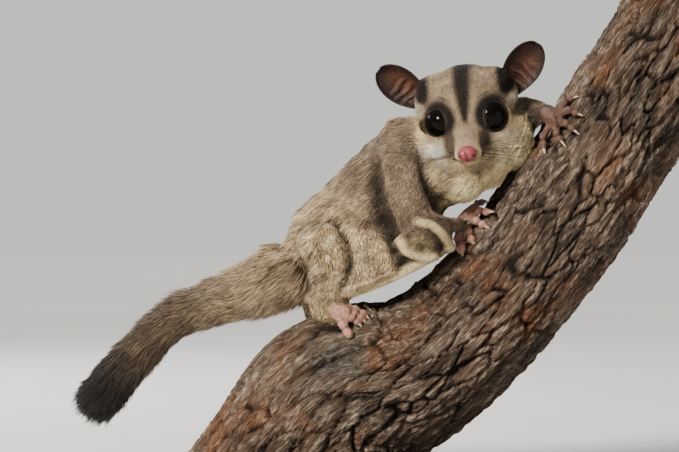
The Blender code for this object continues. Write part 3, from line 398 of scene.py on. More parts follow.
def tube(name, points, radii, sides=12, flat=1.0):
    """A closed round tube along points in millimetres, with pointed or rounded ends."""
    points = np.array(points, float)
    count = len(points)
    tangents = unit(np.gradient(points, axis=0))
    side = np.cross(tangents[0], (0.0, 0.0, 1.0))
    if np.linalg.norm(side) < 0.1:
        side = np.cross(tangents[0], (0.0, 1.0, 0.0))
    made = []
    for k in range(count):
        side = side - tangents[k] * side.dot(tangents[k])
        side = side / np.linalg.norm(side)
        up = np.cross(side, tangents[k])
        turn = np.linspace(0, 2 * np.pi, sides, endpoint=False)[:, None]
        made.append(points[k] + radii[k] * (np.cos(turn) * side + flat * np.sin(turn) * up))
    first = points[0] - tangents[0] * radii[0] * 0.6
    last = points[-1] + tangents[-1] * radii[-1] * 0.6
    verts = np.vstack(made + [first[None], last[None]])
    faces = []
    for k in range(count - 1):
        for j in range(sides):
            n = (j + 1) % sides
            faces.append((k * sides + j, k * sides + n, (k + 1) * sides + n, (k + 1) * sides + j))
    top = (count - 1) * sides
    for j in range(sides):
        n = (j + 1) % sides
        faces.append((n, j, count * sides))
        faces.append((top + j, top + n, count * sides + 1))
    return outwards(mesh_object(name, verts, faces))


def joined(name, pieces):
    """Several objects joined into the first."""
    deselect_all()
    for piece in pieces:
        piece.select_set(True)
    bpy.context.view_layer.objects.active = pieces[0]
    bpy.ops.object.join()
    pieces[0].name = name
    pieces[0].data.name = name
    return pieces[0]


def head_turn():
    """The turn of the head as a matrix: pitch first, then turn, then roll."""
    roll = Matrix.Rotation(math.radians(-HEAD_ROLL), 3, "Y")
    turn = Matrix.Rotation(math.radians(-HEAD_TURN), 3, "Z")
    pitch = Matrix.Rotation(math.radians(HEAD_PITCH), 3, "X")
    return roll @ turn @ pitch


HEAD_AXES = np.array(head_turn())


def on_head(x, y, z):
    """A place given on the head's own axes, in the model's millimetres."""
    return np.array(HEAD_CENTRE) + HEAD_AXES @ np.array((x, y, z), float)


def from_head(points):
    """Places in millimetres turned to the head's own axes."""
    return (points - np.array(HEAD_CENTRE)) @ HEAD_AXES


def eye_axis(side):
    """The way that an eye looks."""
    out = math.radians(EYE_OUTWARD)
    way = np.array((side * math.sin(out), -math.cos(out), 0.10))
    return HEAD_AXES @ (way / np.linalg.norm(way))


def eye_centre(side):
    """The middle of an eyeball."""
    return on_head(side * EYE_PLACE[0], EYE_PLACE[1], EYE_PLACE[2])


def over_bark(x, z, lift, far=False):
    """The place on the bark that is seen at x and z and stands off it by lift."""
    if far:
        x, z = x + FAR_SHIFT[0], z + FAR_SHIFT[1]
    line = smooth_path(BRANCH_AXIS, 161)
    i = int(np.argmin(np.hypot(line[1:-1, 0] - x, line[1:-1, 1] - z))) + 1
    along = unit(line[i + 1, :2] - line[i - 1, :2])
    across = -along[1] * (x - line[i, 0]) + along[0] * (z - line[i, 1])
    reach = line[i, 2] + lift
    deep = math.sqrt(max(reach * reach - across * across, 0.0))
    return np.array((x, BRANCH_DEPTH + (deep if far else -deep), z))


# Shader node groups and materials


def add_node(tree, kind, **inputs):
    """A node with its inputs set."""
    node = tree.nodes.new(kind)
    for key, value in inputs.items():
        node.inputs[key.replace("_", " ")].default_value = value
    return node


def new_group(name, inputs, outputs):
    """An empty shader node group with named sockets."""
    group = bpy.data.node_groups.new(name, "ShaderNodeTree")
    for label, kind, value in inputs:
        socket = group.interface.new_socket(label, in_out="INPUT", socket_type=kind)
        if value is not None:
            socket.default_value = value
    for label, kind in outputs:
        group.interface.new_socket(label, in_out="OUTPUT", socket_type=kind)
    return group, group.nodes.new("NodeGroupInput"), group.nodes.new("NodeGroupOutput")


def mottle_group():
    """Soft patches of noise between a low and a high edge."""
    if "Mottle" in bpy.data.node_groups:
        return bpy.data.node_groups["Mottle"]
    group, start, end = new_group(
        "Mottle",
        (
            ("Vector", "NodeSocketVector", None),
            ("Scale", "NodeSocketFloat", 100.0),
            ("Detail", "NodeSocketFloat", 3.0),
            ("Low", "NodeSocketFloat", 0.35),
            ("High", "NodeSocketFloat", 0.65),
        ),
        (("Mask", "NodeSocketFloat"),),
    )
    grain = add_node(group, "ShaderNodeTexNoise")
    ramp = add_node(group, "ShaderNodeMapRange")
    ramp.interpolation_type = "SMOOTHSTEP"
    for label, key in (("Vector", "Vector"), ("Scale", "Scale"), ("Detail", "Detail")):
        group.links.new(start.outputs[label], grain.inputs[key])
    group.links.new(grain.outputs["Fac"], ramp.inputs["Value"])
    group.links.new(start.outputs["Low"], ramp.inputs["From Min"])
    group.links.new(start.outputs["High"], ramp.inputs["From Max"])
    group.links.new(ramp.outputs["Result"], end.inputs["Mask"])
    return group


def tone_group():
    """A colour made darker or lighter by a mask."""
    if "Tone" in bpy.data.node_groups:
        return bpy.data.node_groups["Tone"]
    group, start, end = new_group(
        "Tone",
        (
            ("Colour", "NodeSocketColor", (0.5, 0.5, 0.5, 1.0)),
            ("Mask", "NodeSocketFloat", 0.5),
            ("Dark", "NodeSocketFloat", 0.8),
            ("Light", "NodeSocketFloat", 1.2),
        ),
        (("Colour", "NodeSocketColor"),),
    )
    gain = add_node(group, "ShaderNodeMapRange")
    scale = group.nodes.new("ShaderNodeVectorMath")
    scale.operation = "SCALE"
    group.links.new(start.outputs["Mask"], gain.inputs["Value"])
    group.links.new(start.outputs["Dark"], gain.inputs["To Min"])
    group.links.new(start.outputs["Light"], gain.inputs["To Max"])
    group.links.new(start.outputs["Colour"], scale.inputs[0])
    group.links.new(gain.outputs["Result"], scale.inputs["Scale"])
    group.links.new(scale.outputs["Vector"], end.inputs["Colour"])
    return group


class Finish:
    """A material under construction: its tree, its Principled shader and its coordinates."""

    def __init__(self, name, colour_value, roughness, **constants):
        self.material = bpy.data.materials.new(name)
        self.material.use_nodes = True
        self.tree = self.material.node_tree
        self.shader = self.tree.nodes["Principled BSDF"]
        self.shader.inputs["Base Color"].default_value = (*colour_value, 1.0)
        self.shader.inputs["Roughness"].default_value = roughness
        for key, value in constants.items():
            self.shader.inputs[key.replace("_", " ")].default_value = value
        self.where = self.tree.nodes.new("ShaderNodeTexCoord").outputs["Object"]

    def link(self, source, target):
        """Joins an output to an input."""
        self.tree.links.new(source, target)

    def attribute(self, name, output="Color"):
        """An attribute of the mesh, as a colour or as a vector."""
        node = self.tree.nodes.new("ShaderNodeAttribute")
        node.attribute_name = name
        return node.outputs[output]

    def stretched(self, scale, turn=(0.0, 0.0, 0.0), source=None, place=(0.0, 0.0, 0.0)):
        """Places scaled, turned and moved before a pattern is drawn on them."""
        node = self.tree.nodes.new("ShaderNodeMapping")
        node.inputs["Location"].default_value = place
        node.inputs["Rotation"].default_value = turn
        node.inputs["Scale"].default_value = scale
        self.link(source or self.where, node.inputs["Vector"])
        return node.outputs["Vector"]

    def mottle(self, scale, low=0.35, high=0.65, source=None, detail=3.0):
        """Soft patches of noise between a low and a high edge."""
        node = self.tree.nodes.new("ShaderNodeGroup")
        node.node_tree = mottle_group()
        for key, value in (("Scale", scale), ("Low", low), ("High", high), ("Detail", detail)):
            node.inputs[key].default_value = value
        self.link(source or self.where, node.inputs["Vector"])
        return node.outputs["Mask"]

    def tone(self, colour_source, mask, dark, light):
        """A colour made darker or lighter by a mask."""
        node = self.tree.nodes.new("ShaderNodeGroup")
        node.node_tree = tone_group()
        node.inputs["Dark"].default_value = dark
        node.inputs["Light"].default_value = light
        if isinstance(colour_source, tuple):
            node.inputs["Colour"].default_value = (*colour_source, 1.0)
        else:
            self.link(colour_source, node.inputs["Colour"])
        self.link(mask, node.inputs["Mask"])
        return node.outputs["Colour"]

    def mixed(self, mask, first, second):
        """One colour over another by a mask."""
        node = self.tree.nodes.new("ShaderNodeMix")
        node.data_type = "RGBA"
        for index, value in ((6, first), (7, second)):
            if isinstance(value, tuple):
                node.inputs[index].default_value = (*value, 1.0)
            else:
                self.link(value, node.inputs[index])
        self.link(mask, node.inputs[0])
        return node.outputs[2]

    def ramped(self, mask, low, high):
        """A mask brought between two values."""
        node = self.tree.nodes.new("ShaderNodeMapRange")
        node.inputs["To Min"].default_value = low
        node.inputs["To Max"].default_value = high
        self.link(mask, node.inputs["Value"])
        return node.outputs["Result"]

    def math(self, operation, first, second):
        """A sum on one or two values."""
        node = self.tree.nodes.new("ShaderNodeMath")
        node.operation = operation
        for index, value in ((0, first), (1, second)):
            if isinstance(value, (int, float)):
                node.inputs[index].default_value = value
            else:
                self.link(value, node.inputs[index])
        return node.outputs[0]

    def painted(self, source):
        """Sets the base colour."""
        self.link(source, self.shader.inputs["Base Color"])

    def rough(self, source):
        """Sets the roughness."""
        self.link(source, self.shader.inputs["Roughness"])

    def raised(self, height, depth, strength=1.0):
        """Sets the fine relief."""
        node = self.tree.nodes.new("ShaderNodeBump")
        node.inputs["Distance"].default_value = depth
        node.inputs["Strength"].default_value = strength
        self.link(height, node.inputs["Height"])
        self.link(node.outputs["Normal"], self.shader.inputs["Normal"])


def fur_finish():
    """Coat tufts: their own colours, a little uneven, with a soft sheen."""
    fur = Finish("glider coat", (0.3, 0.22, 0.16), 0.62, Specular_IOR_Level=0.2, Sheen_Weight=0.03)
    fur.painted(fur.tone(fur.attribute("tint"), fur.mottle(170.0), 0.80, 1.16))
    return fur.material


def skin_finish():
    """Skin under the coat: short fur as bump, with smoother bare skin on the paws."""
    skin = Finish("glider skin", (0.3, 0.22, 0.16), 0.7, Specular_IOR_Level=0.3)
    bare = skin.attribute("bare", "Fac")
    hair = skin.mottle(1500.0, 0.3, 0.7, detail=2.0)
    skin.painted(skin.tone(skin.attribute("tint"), skin.mottle(700.0), 0.8, 1.15))
    skin.rough(skin.ramped(bare, 0.82, 0.48))
    skin.raised(hair, 0.00022)
    return skin.material


def ear_finish(colour_value):
    """Thin bare skin, soft and slightly shiny."""
    ear = Finish("ear skin", colour_value, 0.52, Specular_IOR_Level=0.3)
    veins = ear.mottle(330.0, 0.42, 0.58, source=ear.stretched((1.0, 1.0, 0.4), (0.3, 0.4, 0.6)))
    ear.painted(ear.tone(ear.attribute("tint"), veins, 0.82, 1.12))
    ear.raised(ear.mottle(1200.0), 0.00012)
    return ear.material


def nose_finish(colour_value):
    """Moist bare skin with fine pores."""
    nose = Finish("nose skin", colour_value, 0.28, Specular_IOR_Level=0.5, Coat_Weight=0.35)
    nose.painted(nose.tone(nose.attribute("tint"), nose.mottle(900.0), 0.85, 1.1))
    nose.raised(nose.mottle(2600.0, 0.4, 0.6), 0.00008)
    return nose.material


def eye_finish(colour_value):
    """A dark wet eye."""
    eye = Finish("eye", colour_value, 0.05, Specular_IOR_Level=0.10)
    eye.painted(eye.tone(colour_value, eye.mottle(420.0), 0.6, 1.5))
    return eye.material


def lid_finish(dark):
    """Dark bare skin at the rim of an eye."""
    lid = Finish("eyelids", dark, 0.6, Specular_IOR_Level=0.15)
    lid.painted(lid.tone(dark, lid.mottle(1500.0), 0.6, 1.6))
    lid.raised(lid.mottle(2200.0), 0.0001)
    return lid.material


def claw_finish(colour_value):
    """Pale horn."""
    claw = Finish("claw horn", colour_value, 0.3, Specular_IOR_Level=0.5)
    claw.painted(claw.tone(claw.attribute("tint"), claw.mottle(900.0), 0.8, 1.15))
    return claw.material


def whisker_finish():
    """Dark glossy bristle."""
    hair = Finish("whisker", WHISKER_COLOUR, 0.4, Specular_IOR_Level=0.4)
    hair.painted(hair.tone(WHISKER_COLOUR, hair.mottle(300.0), 0.7, 1.5))
    return hair.material


def bark_finish(sizes):
    """Bark: plates and ridges by their height, the high ridges paler as weathering and painted highlight,
    red-brown inner bark, painted shade in the cracks, a lichen patch.
    """
    bark = Finish("bark", tuple(sizes.plate), 0.82, Specular_IOR_Level=0.25)
    split = bark.tree.nodes.new("ShaderNodeSeparateColor")
    bark.link(bark.attribute("relief"), split.inputs["Color"])
    height, plate, patch = split.outputs["Red"], split.outputs["Green"], split.outputs["Blue"]
    grain = bark.attribute("grain", "Vector")
    fine = bark.stretched((1900.0, 1900.0, 340.0), source=grain)
    fibres = bark.mottle(1.0, 0.34, 0.66, source=fine, detail=6.0)
    coarse = bark.stretched((560.0, 560.0, 120.0), source=grain)
    strips = bark.mottle(1.0, 0.36, 0.62, source=coarse, detail=5.0)
    flecks = bark.mottle(620.0, 0.45, 0.62, detail=4.0)
    broad = bark.mottle(48.0, 0.36, 0.64)
    base = bark.tone(bark.tone(tuple(sizes.plate), plate, 0.55, 1.55), broad, 0.75, 1.3)
    rust_patch = bark.math("MULTIPLY", bark.mottle(30.0, 0.49, 0.61), bark.ramped(plate, 1.2, 0.3))
    rusty = bark.math("MULTIPLY", rust_patch, bark.ramped(strips, 0.45, 1.0))
    base = bark.mixed(rusty, base, tuple(sizes.rust))
    worn = bark.math("MULTIPLY", strips, bark.ramped(fibres, 0.35, 1.0))
    # paler towards the top of the relief: weathering on the ridges, and painted highlight
    lift = bark.math("MULTIPLY", bark.ramped(height, -0.6, 1.25), worn)
    ridged = bark.mixed(bark.math("MULTIPLY", lift, bark.ramped(broad, 0.55, 1.1)), base, tuple(sizes.ridge))
    crusted = bark.mixed(bark.math("MULTIPLY", patch, flecks), ridged, tuple(sizes.lichen))
    # painted shade: the lowest places of the relief, in the cracks, turn nearly black
    deep = bark.tree.nodes.new("ShaderNodeMapRange")
    deep.inputs["From Min"].default_value = 0.25
    deep.inputs["From Max"].default_value = 0.55
    bark.link(height, deep.inputs["Value"])
    cracked = bark.mixed(deep.outputs["Result"], (0.010, 0.006, 0.004), crusted)
    bark.painted(bark.tone(cracked, fibres, 0.66, 1.25))
    bark.rough(bark.ramped(fibres, 0.95, 0.72))
    bark.raised(bark.math("ADD", fibres, bark.math("MULTIPLY", strips, 1.4)), 0.0007, 1.0)
    return bark.material


def cut_wood_finish(sizes, name, centre, tilt):
    """Sawn wood with growth rings round the branch's axis."""
    wood = Finish(name, tuple(sizes.wood), 0.7, Specular_IOR_Level=0.3)
    level = wood.stretched((1.0, 1.0, 1.0), (0.0, tilt, 0.0))
    flat = wood.tree.nodes.new("ShaderNodeVectorMath")
    flat.operation = "LENGTH"
    wood.link(wood.stretched((1.0, 1.0, 0.0), place=centre, source=level), flat.inputs[0])
    wander = wood.mottle(45.0, 0.1, 0.9, detail=1.0)
    radius = wood.math("ADD", flat.outputs["Value"], wood.math("MULTIPLY", wander, 0.005))
    rings = wood.math("MULTIPLY", radius, 3400.0)
    bands = wood.ramped(wood.math("SINE", rings, 0.0), 0.25, 0.9)
    wood.painted(wood.tone(tuple(sizes.wood), bands, 0.62, 1.15))
    wood.raised(bands, 0.00015)
    return wood.material


def paint_finish(colour_value):
    """Satin black paint."""
    paint = Finish("satin black paint", colour_value, 0.38, Specular_IOR_Level=0.5)
    paint.painted(paint.tone(colour_value, paint.mottle(40.0), 0.92, 1.1))
    paint.rough(paint.ramped(paint.mottle(300.0), 0.38, 0.44))
    paint.raised(paint.mottle(2200.0), 0.00003)
    return paint.material


def steel_finish(colour_value):
    """Brushed steel."""
    steel = Finish("brushed steel", colour_value, 0.3, Metallic=1.0)
    brushed = steel.mottle(1.0, 0.3, 0.7, source=steel.stretched((260.0, 260.0, 5200.0)))
    steel.painted(steel.tone(colour_value, brushed, 0.85, 1.1))
    steel.rough(steel.ramped(brushed, 0.24, 0.42))
    steel.raised(brushed, 0.00001)
    return steel.material


def floor_finish(colour_value):
    """A plain pale floor."""
    floor = Finish("pale floor", colour_value, 0.85, Specular_IOR_Level=0.2)
    floor.painted(floor.tone(colour_value, floor.mottle(3.0), 0.97, 1.02))
    return floor.material


# The skin and what it carries

SKIN = {}  # arrays that the skin hands on to the coat


def nearest_on(line, points):
    """For each point, the index of the nearest point of a line."""
    best = np.zeros(len(points), int)
    for start in range(0, len(points), 20000):
        block = points[start:start + 20000]
        gaps = np.linalg.norm(block[:, None, :] - line[None, :, :], axis=2)
        best[start:start + 20000] = gaps.argmin(1)
    return best


def along_line(places, points):
    """The way that a line runs beside each point, how far along that is from 0 to 1, and the place on it."""
    count = 60
    line = smooth_path(np.array(places)[:, :3], count)
    ways = unit(np.gradient(line, axis=0))
    near = nearest_on(line, points)
    return ways[near], near / (count - 1), line[near]


def mesh_arrays(obj):
    """Points in millimetres, normals, triangles and edges of an object's mesh."""
    mesh = obj.data
    points = np.zeros(len(mesh.vertices) * 3)
    mesh.vertices.foreach_get("co", points)
    normals = np.zeros(len(mesh.vertices) * 3)
    mesh.vertex_normals.foreach_get("vector", normals)
    mesh.calc_loop_triangles()
    triangles = np.zeros(len(mesh.loop_triangles) * 3, np.int64)
    mesh.loop_triangles.foreach_get("vertices", triangles)
    edges = np.zeros(len(mesh.edges) * 2, np.int64)
    mesh.edges.foreach_get("vertices", edges)
    return points.reshape(-1, 3) / MM, normals.reshape(-1, 3), triangles.reshape(-1, 3), edges.reshape(-1, 2)


def spread(values, edges, rounds):
    """Evens out values over a mesh's neighbours."""
    values = values.astype(float)
    flat = values.reshape(len(values), -1)
    count = np.bincount(edges.ravel(), minlength=len(values)).astype(float)[:, None]
    count[count == 0] = 1.0
    for _ in range(rounds):
        total = np.empty_like(flat)
        for c in range(flat.shape[1]):
            total[:, c] = np.bincount(edges[:, 0], weights=flat[edges[:, 1], c], minlength=len(flat))
            total[:, c] += np.bincount(edges[:, 1], weights=flat[edges[:, 0], c], minlength=len(flat))
        flat = 0.5 * flat + 0.5 * total / count
    return flat.reshape(values.shape)


def region_of(name):
    """The row of COAT that a node belongs to."""
    if name.startswith("tail"):
        return "tail"
    if name.endswith("_heel"):
        return "foot_heel"
    for key in ("foreleg", "hindleg", "patagium", "hand", "foot"):
        if name.startswith(key):
            return key
    return name


def node_triangles(names):
    """All triangles of some nodes, with the number of the node that each belongs to."""
    points, faces, owner = [], [], []
    for number, name in enumerate(names):
        co, _, triangles, _ = mesh_arrays(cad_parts[name])
        faces.append(triangles + sum(len(p) for p in points))
        points.append(co)
        owner.append(np.full(len(triangles), number))
    return np.vstack(points), np.vstack(faces), np.concatenate(owner)


def distance_to(points, names):
    """How far each point lies from the nearest of some nodes, up to 12 mm."""
    solid, faces, _ = node_triangles(names)
    tree = BVHTree.FromPolygons(solid.tolist(), faces.tolist())
    found = [tree.find_nearest(Vector(p), 12.0)[3] for p in points.tolist()]
    return np.array([12.0 if gap is None else gap for gap in found])


def nearest_node(points, names):
    """The number of the node that lies nearest to each point."""
    solid, faces, owner = node_triangles(names)
    tree = BVHTree.FromPolygons(solid.tolist(), faces.tolist())
    found = [tree.find_nearest(Vector(p))[2] for p in points.tolist()]
    return owner[np.array(found)]


def keep_largest(obj):
    """Deletes every loose surface but the largest."""
    _, _, triangles, edges = mesh_arrays(obj)
    label = np.arange(len(obj.data.vertices))
    while True:
        low = np.minimum(label[edges[:, 0]], label[edges[:, 1]])
        new = label.copy()
        np.minimum.at(new, edges[:, 0], low)
        np.minimum.at(new, edges[:, 1], low)
        new = new[new]
        if (new == label).all():
            break
        label = new
    big = np.bincount(label).argmax()
    only(obj)
    bpy.ops.object.mode_set(mode="EDIT")
    bpy.ops.mesh.select_all(action="DESELECT")
    bpy.ops.object.mode_set(mode="OBJECT")
    obj.data.vertices.foreach_set("select", (label != big))
    bpy.ops.object.mode_set(mode="EDIT")
    bpy.ops.mesh.delete(type="VERT")
    bpy.ops.object.mode_set(mode="OBJECT")


def lie_of_coat(points, spots):
    """The way that the coat lies at each point, before it is evened out."""
    ways = np.zeros_like(points)
    spine, _, _ = along_line(SPINE_LINE, points)
    lines = {
        "foreleg_right": ARM_LINE, "hand_right": ARM_LINE,
        "foreleg_left": FAR_ARM_LINE, "hand_left": FAR_ARM_LINE,
        "hindleg_right": LEG_LINE, "foot_right": LEG_LINE,
        "hindleg_left": FAR_LEG_LINE, "foot_left": FAR_LEG_LINE,
    }
    for number, name in enumerate(spots.names):
        here = spots.parts == number
        if not here.any():
            continue
        if name == "head":
            away = unit(points[here] - on_head(*NOSE_PLACE))
            back = from_head(points[here])[:, 1:2]
            ways[here] = unit(away + (HEAD_AXES @ np.array((0.0, 0.6, -0.25))) * soft(back, -5.0, 12.0))
        elif name.startswith("tail"):
            ways[here] = along_line(TAIL_LINE, points[here])[0]
        elif name.startswith("patagium"):
            ways[here] = np.array((-0.75, 0.0, -0.66))
        else:
            key = "_".join(name.split("_")[:2])
            ways[here] = along_line(lines[key], points[here])[0] if key in lines else spine[here]
    return ways


def head_markings(points, coat):
    """The face's colours, from places on the head's own axes."""
    p = from_head(points)
    x, y, z = np.abs(p[:, 0]), p[:, 1], p[:, 2]
    cream, back, dark = np.array(coat.cream), np.array(coat.back), np.array(coat.dark)
    near_side = np.where(p[:, 0] < 0, 1.0, 0.35)
    reach = z + 0.6 * np.maximum(y, 0.0)
    half = np.interp(reach, (-1.0, 3.0, 6.0, 9.0, 13.0, 22.0), (0.1, 0.9, 1.7, 2.5, 3.3, 4.4))
    layers = [
        # cheeks, lips and throat
        (soft(-z, 2.0, 8.0), cream),
        (soft(-z, -6.0, 1.0) * soft(x, 14.0, 18.0), cream * 0.95),
        (soft(-z, 3.0, 7.0) * soft(x, 7.0, 11.0) * soft(-y, 4.0, 9.0) * near_side, (0.97, 0.86, 0.68)),
        # the crown greys towards the back of the skull
        (soft(y, 0.0, 10.0) * soft(z, 0.0, 10.0) * 0.85, back * 1.1),
        # dark stripe from between the eyes over the crown, widening backwards
        (fade(x, half * 0.45, half * 1.3 + 0.8) * soft(reach, -1.0, 3.0), dark),
    ]
    # rings round the eyes, wide on the inner and upper side
    for side, _ in SIDES:
        inner = (p[:, 0] - EYE_PLACE[0] * side) * -side
        ring = oval((inner, z - EYE_PLACE[2], y), (-0.1, 1.5, EYE_PLACE[1]), (7.5, 8.4, 16.0))
        shade = dark * (1.2 - 0.7 * fade(ring, 0.7, 1.0))[:, None]
        layers.append((fade(ring, 0.80, 1.14) * soft(-y, -5.0, -1.0), shade))
    wide = np.interp(z, (-9.0, -4.0, 2.0), (3.4, 2.2, 0.8))
    bridge = fade(x, wide * 0.5, wide * 1.5) * soft(-y, 15.0, 20.0)
    bridge = bridge * soft(z, -12.5, -8.0) * fade(z, -5.0, 2.0)
    lip = np.abs(z - np.interp(x, (0.0, 3.2, 6.5, 9.5), (-11.6, -12.2, -11.8, -10.5)))
    layers += [
        # dark patch before the root of each ear
        (fade(oval((x, z, y), (16.8, 14.4, 0.5), (4.6, 7.6, 10.0)), 0.66, 1.14), dark * 0.7),
        # pale patch under the ear and a dark one below it
        (fade(oval((x, z, y), (21.0, 6.2, -3.0), (5.0, 3.4, 7.0)), 0.6, 1.15) * 0.9, (0.84, 0.72, 0.52)),
        (fade(oval((x, z, y), (21.2, 0.8, 1.0), (3.4, 2.6, 8.0)), 0.7, 1.15) * 0.9, dark * 2.0),
        # brown smudges beside the muzzle, the pale bridge between them and the pink tip
        (fade(oval((x, z, y), (7.0, -6.2, -18.5), (3.5, 6.0, 8.0)), 0.55, 1.12) * 0.9, dark * 3.0),
        (bridge * 0.85, (0.54, 0.37, 0.29)),
        (fade(x, 2.5, 6.0) * soft(-y, 24.5, 28.0), (0.54, 0.32, 0.25)),
        # the line of the lips
        (fade(lip, 0.3, 0.9) * soft(-y, 12.5, 16.0) * 0.8, dark * 3.0),
    ]
    tint = np.tile(np.array(coat.face), (len(p), 1))
    for mask, shade in layers:
        tint = laid(tint, mask, shade)
    return tint


def beside_line(line, x, z):
    """Distance from a polyline in the plane of X and Z, and on which side of it each point lies."""
    best, side = np.full(len(x), 1e9), np.zeros(len(x))
    for (x0, z0), (x1, z1) in zip(line, line[1:]):
        dx, dz = x1 - x0, z1 - z0
        t = np.clip(((x - x0) * dx + (z - z0) * dz) / (dx * dx + dz * dz), 0.0, 1.0)
        gap = np.hypot(x - x0 - t * dx, z - z0 - t * dz)
        turn = dz * (x - x0) - dx * (z - z0)
        side = np.where(gap < best, -np.sign(turn), side)
        best = np.minimum(best, gap)
    return best, side


def region_tint(region, points, coat):
    """The plain colour of the coat on a region that has one of its own, or None."""
    grey, tan, back, cream = (np.array(c) for c in (coat.grey, coat.tan, coat.back, coat.cream))
    if region == "foreleg":
        # darker towards the bottom: painted shade under the elbow and forearm
        return back * (1.0 - 0.42 * soft(-points[:, 2:], -112.0, -104.0))
    if region == "hindleg":
        return tan * 0.95 + 0.05 * cream
    if region == "foot_heel":
        pale = soft(-points[:, 2:], -92.0, -80.0)
        return grey * 1.15 * (1 - pale) + cream * 0.72 * pale
    if region == "patagium":
        return cream * 0.86
    if region == "tail":
        run = along_line(TAIL_LINE, points)[1][:, None]
        first, last = soft(run, 0.15, 0.5), soft(run, 0.62, 0.84)
        shade = tan * 0.45 * (1 - first) + np.array(coat.tail) * first
        return shade * (1 - last) + np.array(coat.tail_end) * last
    return None


def body_markings(points, spots, coat):
    """Colours of the coat everywhere but on the head, with painted shade in creases and under the arm."""
    x, y, z = points.T
    grey, cream, dark = np.array(coat.grey), np.array(coat.cream), np.array(coat.dark)
    _, share, spine = along_line(SPINE_LINE, points)
    away = points - spine
    belly = away @ np.array((0.55, 0.0, -0.83))
    rear = soft(share, 0.42, 0.85)
    tint = np.array(coat.back) * (1 - rear[:, None]) + np.array(coat.tan) * rear[:, None]
    for mask, shade in (
        (soft(belly, 2.0, 14.0) * 0.8, grey * 1.25),
        (soft(belly, 16.0, 24.0), cream * 0.8),
        # the dark line down the back
        (fade(np.abs(away[:, 1]), 1.6, 4.2) * soft(-belly, 3.0, 8.0) * (1.0 - 0.55 * rear), dark * 1.8),
        # throat and chest
        (fade(oval((x, y, z), (13.0, -9.0, 137.0), (21.0, 19.0, 18.0)), 0.80, 1.02), cream),
        (fade(oval((x, y, z), (27.0, -6.0, 151.0), (17.0, 18.0, 20.0)), 0.80, 1.02), cream),
    ):
        tint = laid(tint, mask, shade)
    for number, name in enumerate(spots.names):
        here = spots.parts == number
        plain = region_tint(region_of(name), points[here], coat) if here.any() else None
        if plain is not None:
            tint[here] = plain
    # painted shade in the creases, each with a painted highlight on the swell beyond it
    for crease in CREASES:
        gap, past = beside_line(crease, x, z)
        outside = soft(BRANCH_DEPTH - 4.0 - y, 6.0, 14.0)
        tint = tint * (1.0 - 0.7 * hump(gap, CREASE_WIDTH) * outside)[:, None]
        tint = tint * (1.0 + 0.25 * hump(gap - 3.4, 1.8) * (past > 0) * outside)[:, None]
    # painted shade in the hollow behind the elbow and under the forearm, and the pale pouch of the membrane
    near = soft(-y, 7.0, 10.0)
    shade_behind_elbow = fade(oval((x, z), (-22.5, 112.0), (5.0, 11.0)), 0.3, 1.1)
    tint = tint * (1.0 - 0.5 * shade_behind_elbow * near)[:, None]
    tint = laid(tint, fade(oval((x, z), (-1.5, 104.8), (6.5, 2.6)), 0.6, 1.1) * near * 0.8, dark * 3.0)
    tint = laid(tint, fade(oval((x, z), (-11.0, 106.0), (7.0, 4.6)), 0.75, 1.1) * near, cream * 0.82)
    # the pale rolled edges of the gliding membrane, with a dark line beside the two short ones
    for edge, width, dark_line in ((WRIST_EDGE, 1.9, 0.5), (POUCH_EDGE, 1.9, 0.5), (MEMBRANE_EDGE, 2.8, 0.0)):
        gap, _ = beside_line([(q[0], q[2]) for q in edge], x, z)
        tint = laid(tint, hump(gap - 3.0, 1.2) * near * dark_line, dark * 4.0)
        tint = laid(tint, fade(gap, width * 0.7, width * 1.15) * near, cream * 1.1)
    return tint


def refine_paws(skin):
    """Halves the faces of hands and feet, so that they can carry knuckles and pads."""
    points, _, _, _ = mesh_arrays(skin)
    chosen = np.zeros(len(points), bool)
    for name in PAWS:
        low, high = (np.array(corner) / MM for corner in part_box(name))
        chosen |= ((points > low - 0.6) & (points < high + 0.6)).all(1)
    only(skin)
    bpy.ops.object.mode_set(mode="EDIT")
    bpy.ops.mesh.select_all(action="DESELECT")
    bpy.ops.object.mode_set(mode="OBJECT")
    mesh = skin.data
    mesh.vertices.foreach_set("select", chosen)
    corners = np.zeros(len(mesh.edges) * 2, np.int64)
    mesh.edges.foreach_get("vertices", corners)
    mesh.edges.foreach_set("select", chosen[corners].reshape(-1, 2).all(1))
    bpy.ops.object.mode_set(mode="EDIT")
    bpy.ops.mesh.subdivide(number_cuts=1, smoothness=0.6)
    bpy.ops.mesh.quads_convert_to_tris()
    bpy.ops.object.mode_set(mode="OBJECT")


def digit_forms(points):
    """Height of knuckles and pads over each finger and toe, and how much painted shade lies in its folds."""
    height, shade = np.zeros(len(points)), np.zeros(len(points))
    toes = FOOT + BIG_TOE
    for digits, far in ((HAND_RIGHT, False), (HAND_LEFT, False), (toes, False), (toes, True)):
        for knuckle, tip, _, radius in digits:
            start, end = over_bark(*knuckle, far), over_bark(*tip, far)
            way, long = unit(end - start), np.linalg.norm(end - start)
            run = (points - start) @ way
            wide = np.linalg.norm(points - start - run[:, None] * way, axis=1)
            close = fade(wide, radius * 1.3, radius * 1.9) * (run > -2.5) * (run < long + 2.5)
            folds = hump(run - 0.5 * long, 0.55) + 0.6 * hump(run + 1.6, 0.5)
            swell = hump(run, 1.0) + hump(run - long, 1.0)
            height = np.where(close > 0.0, height + close * (0.24 * swell - 0.26 * folds), height)
            shade = np.maximum(shade, close * folds)
    return height, shade


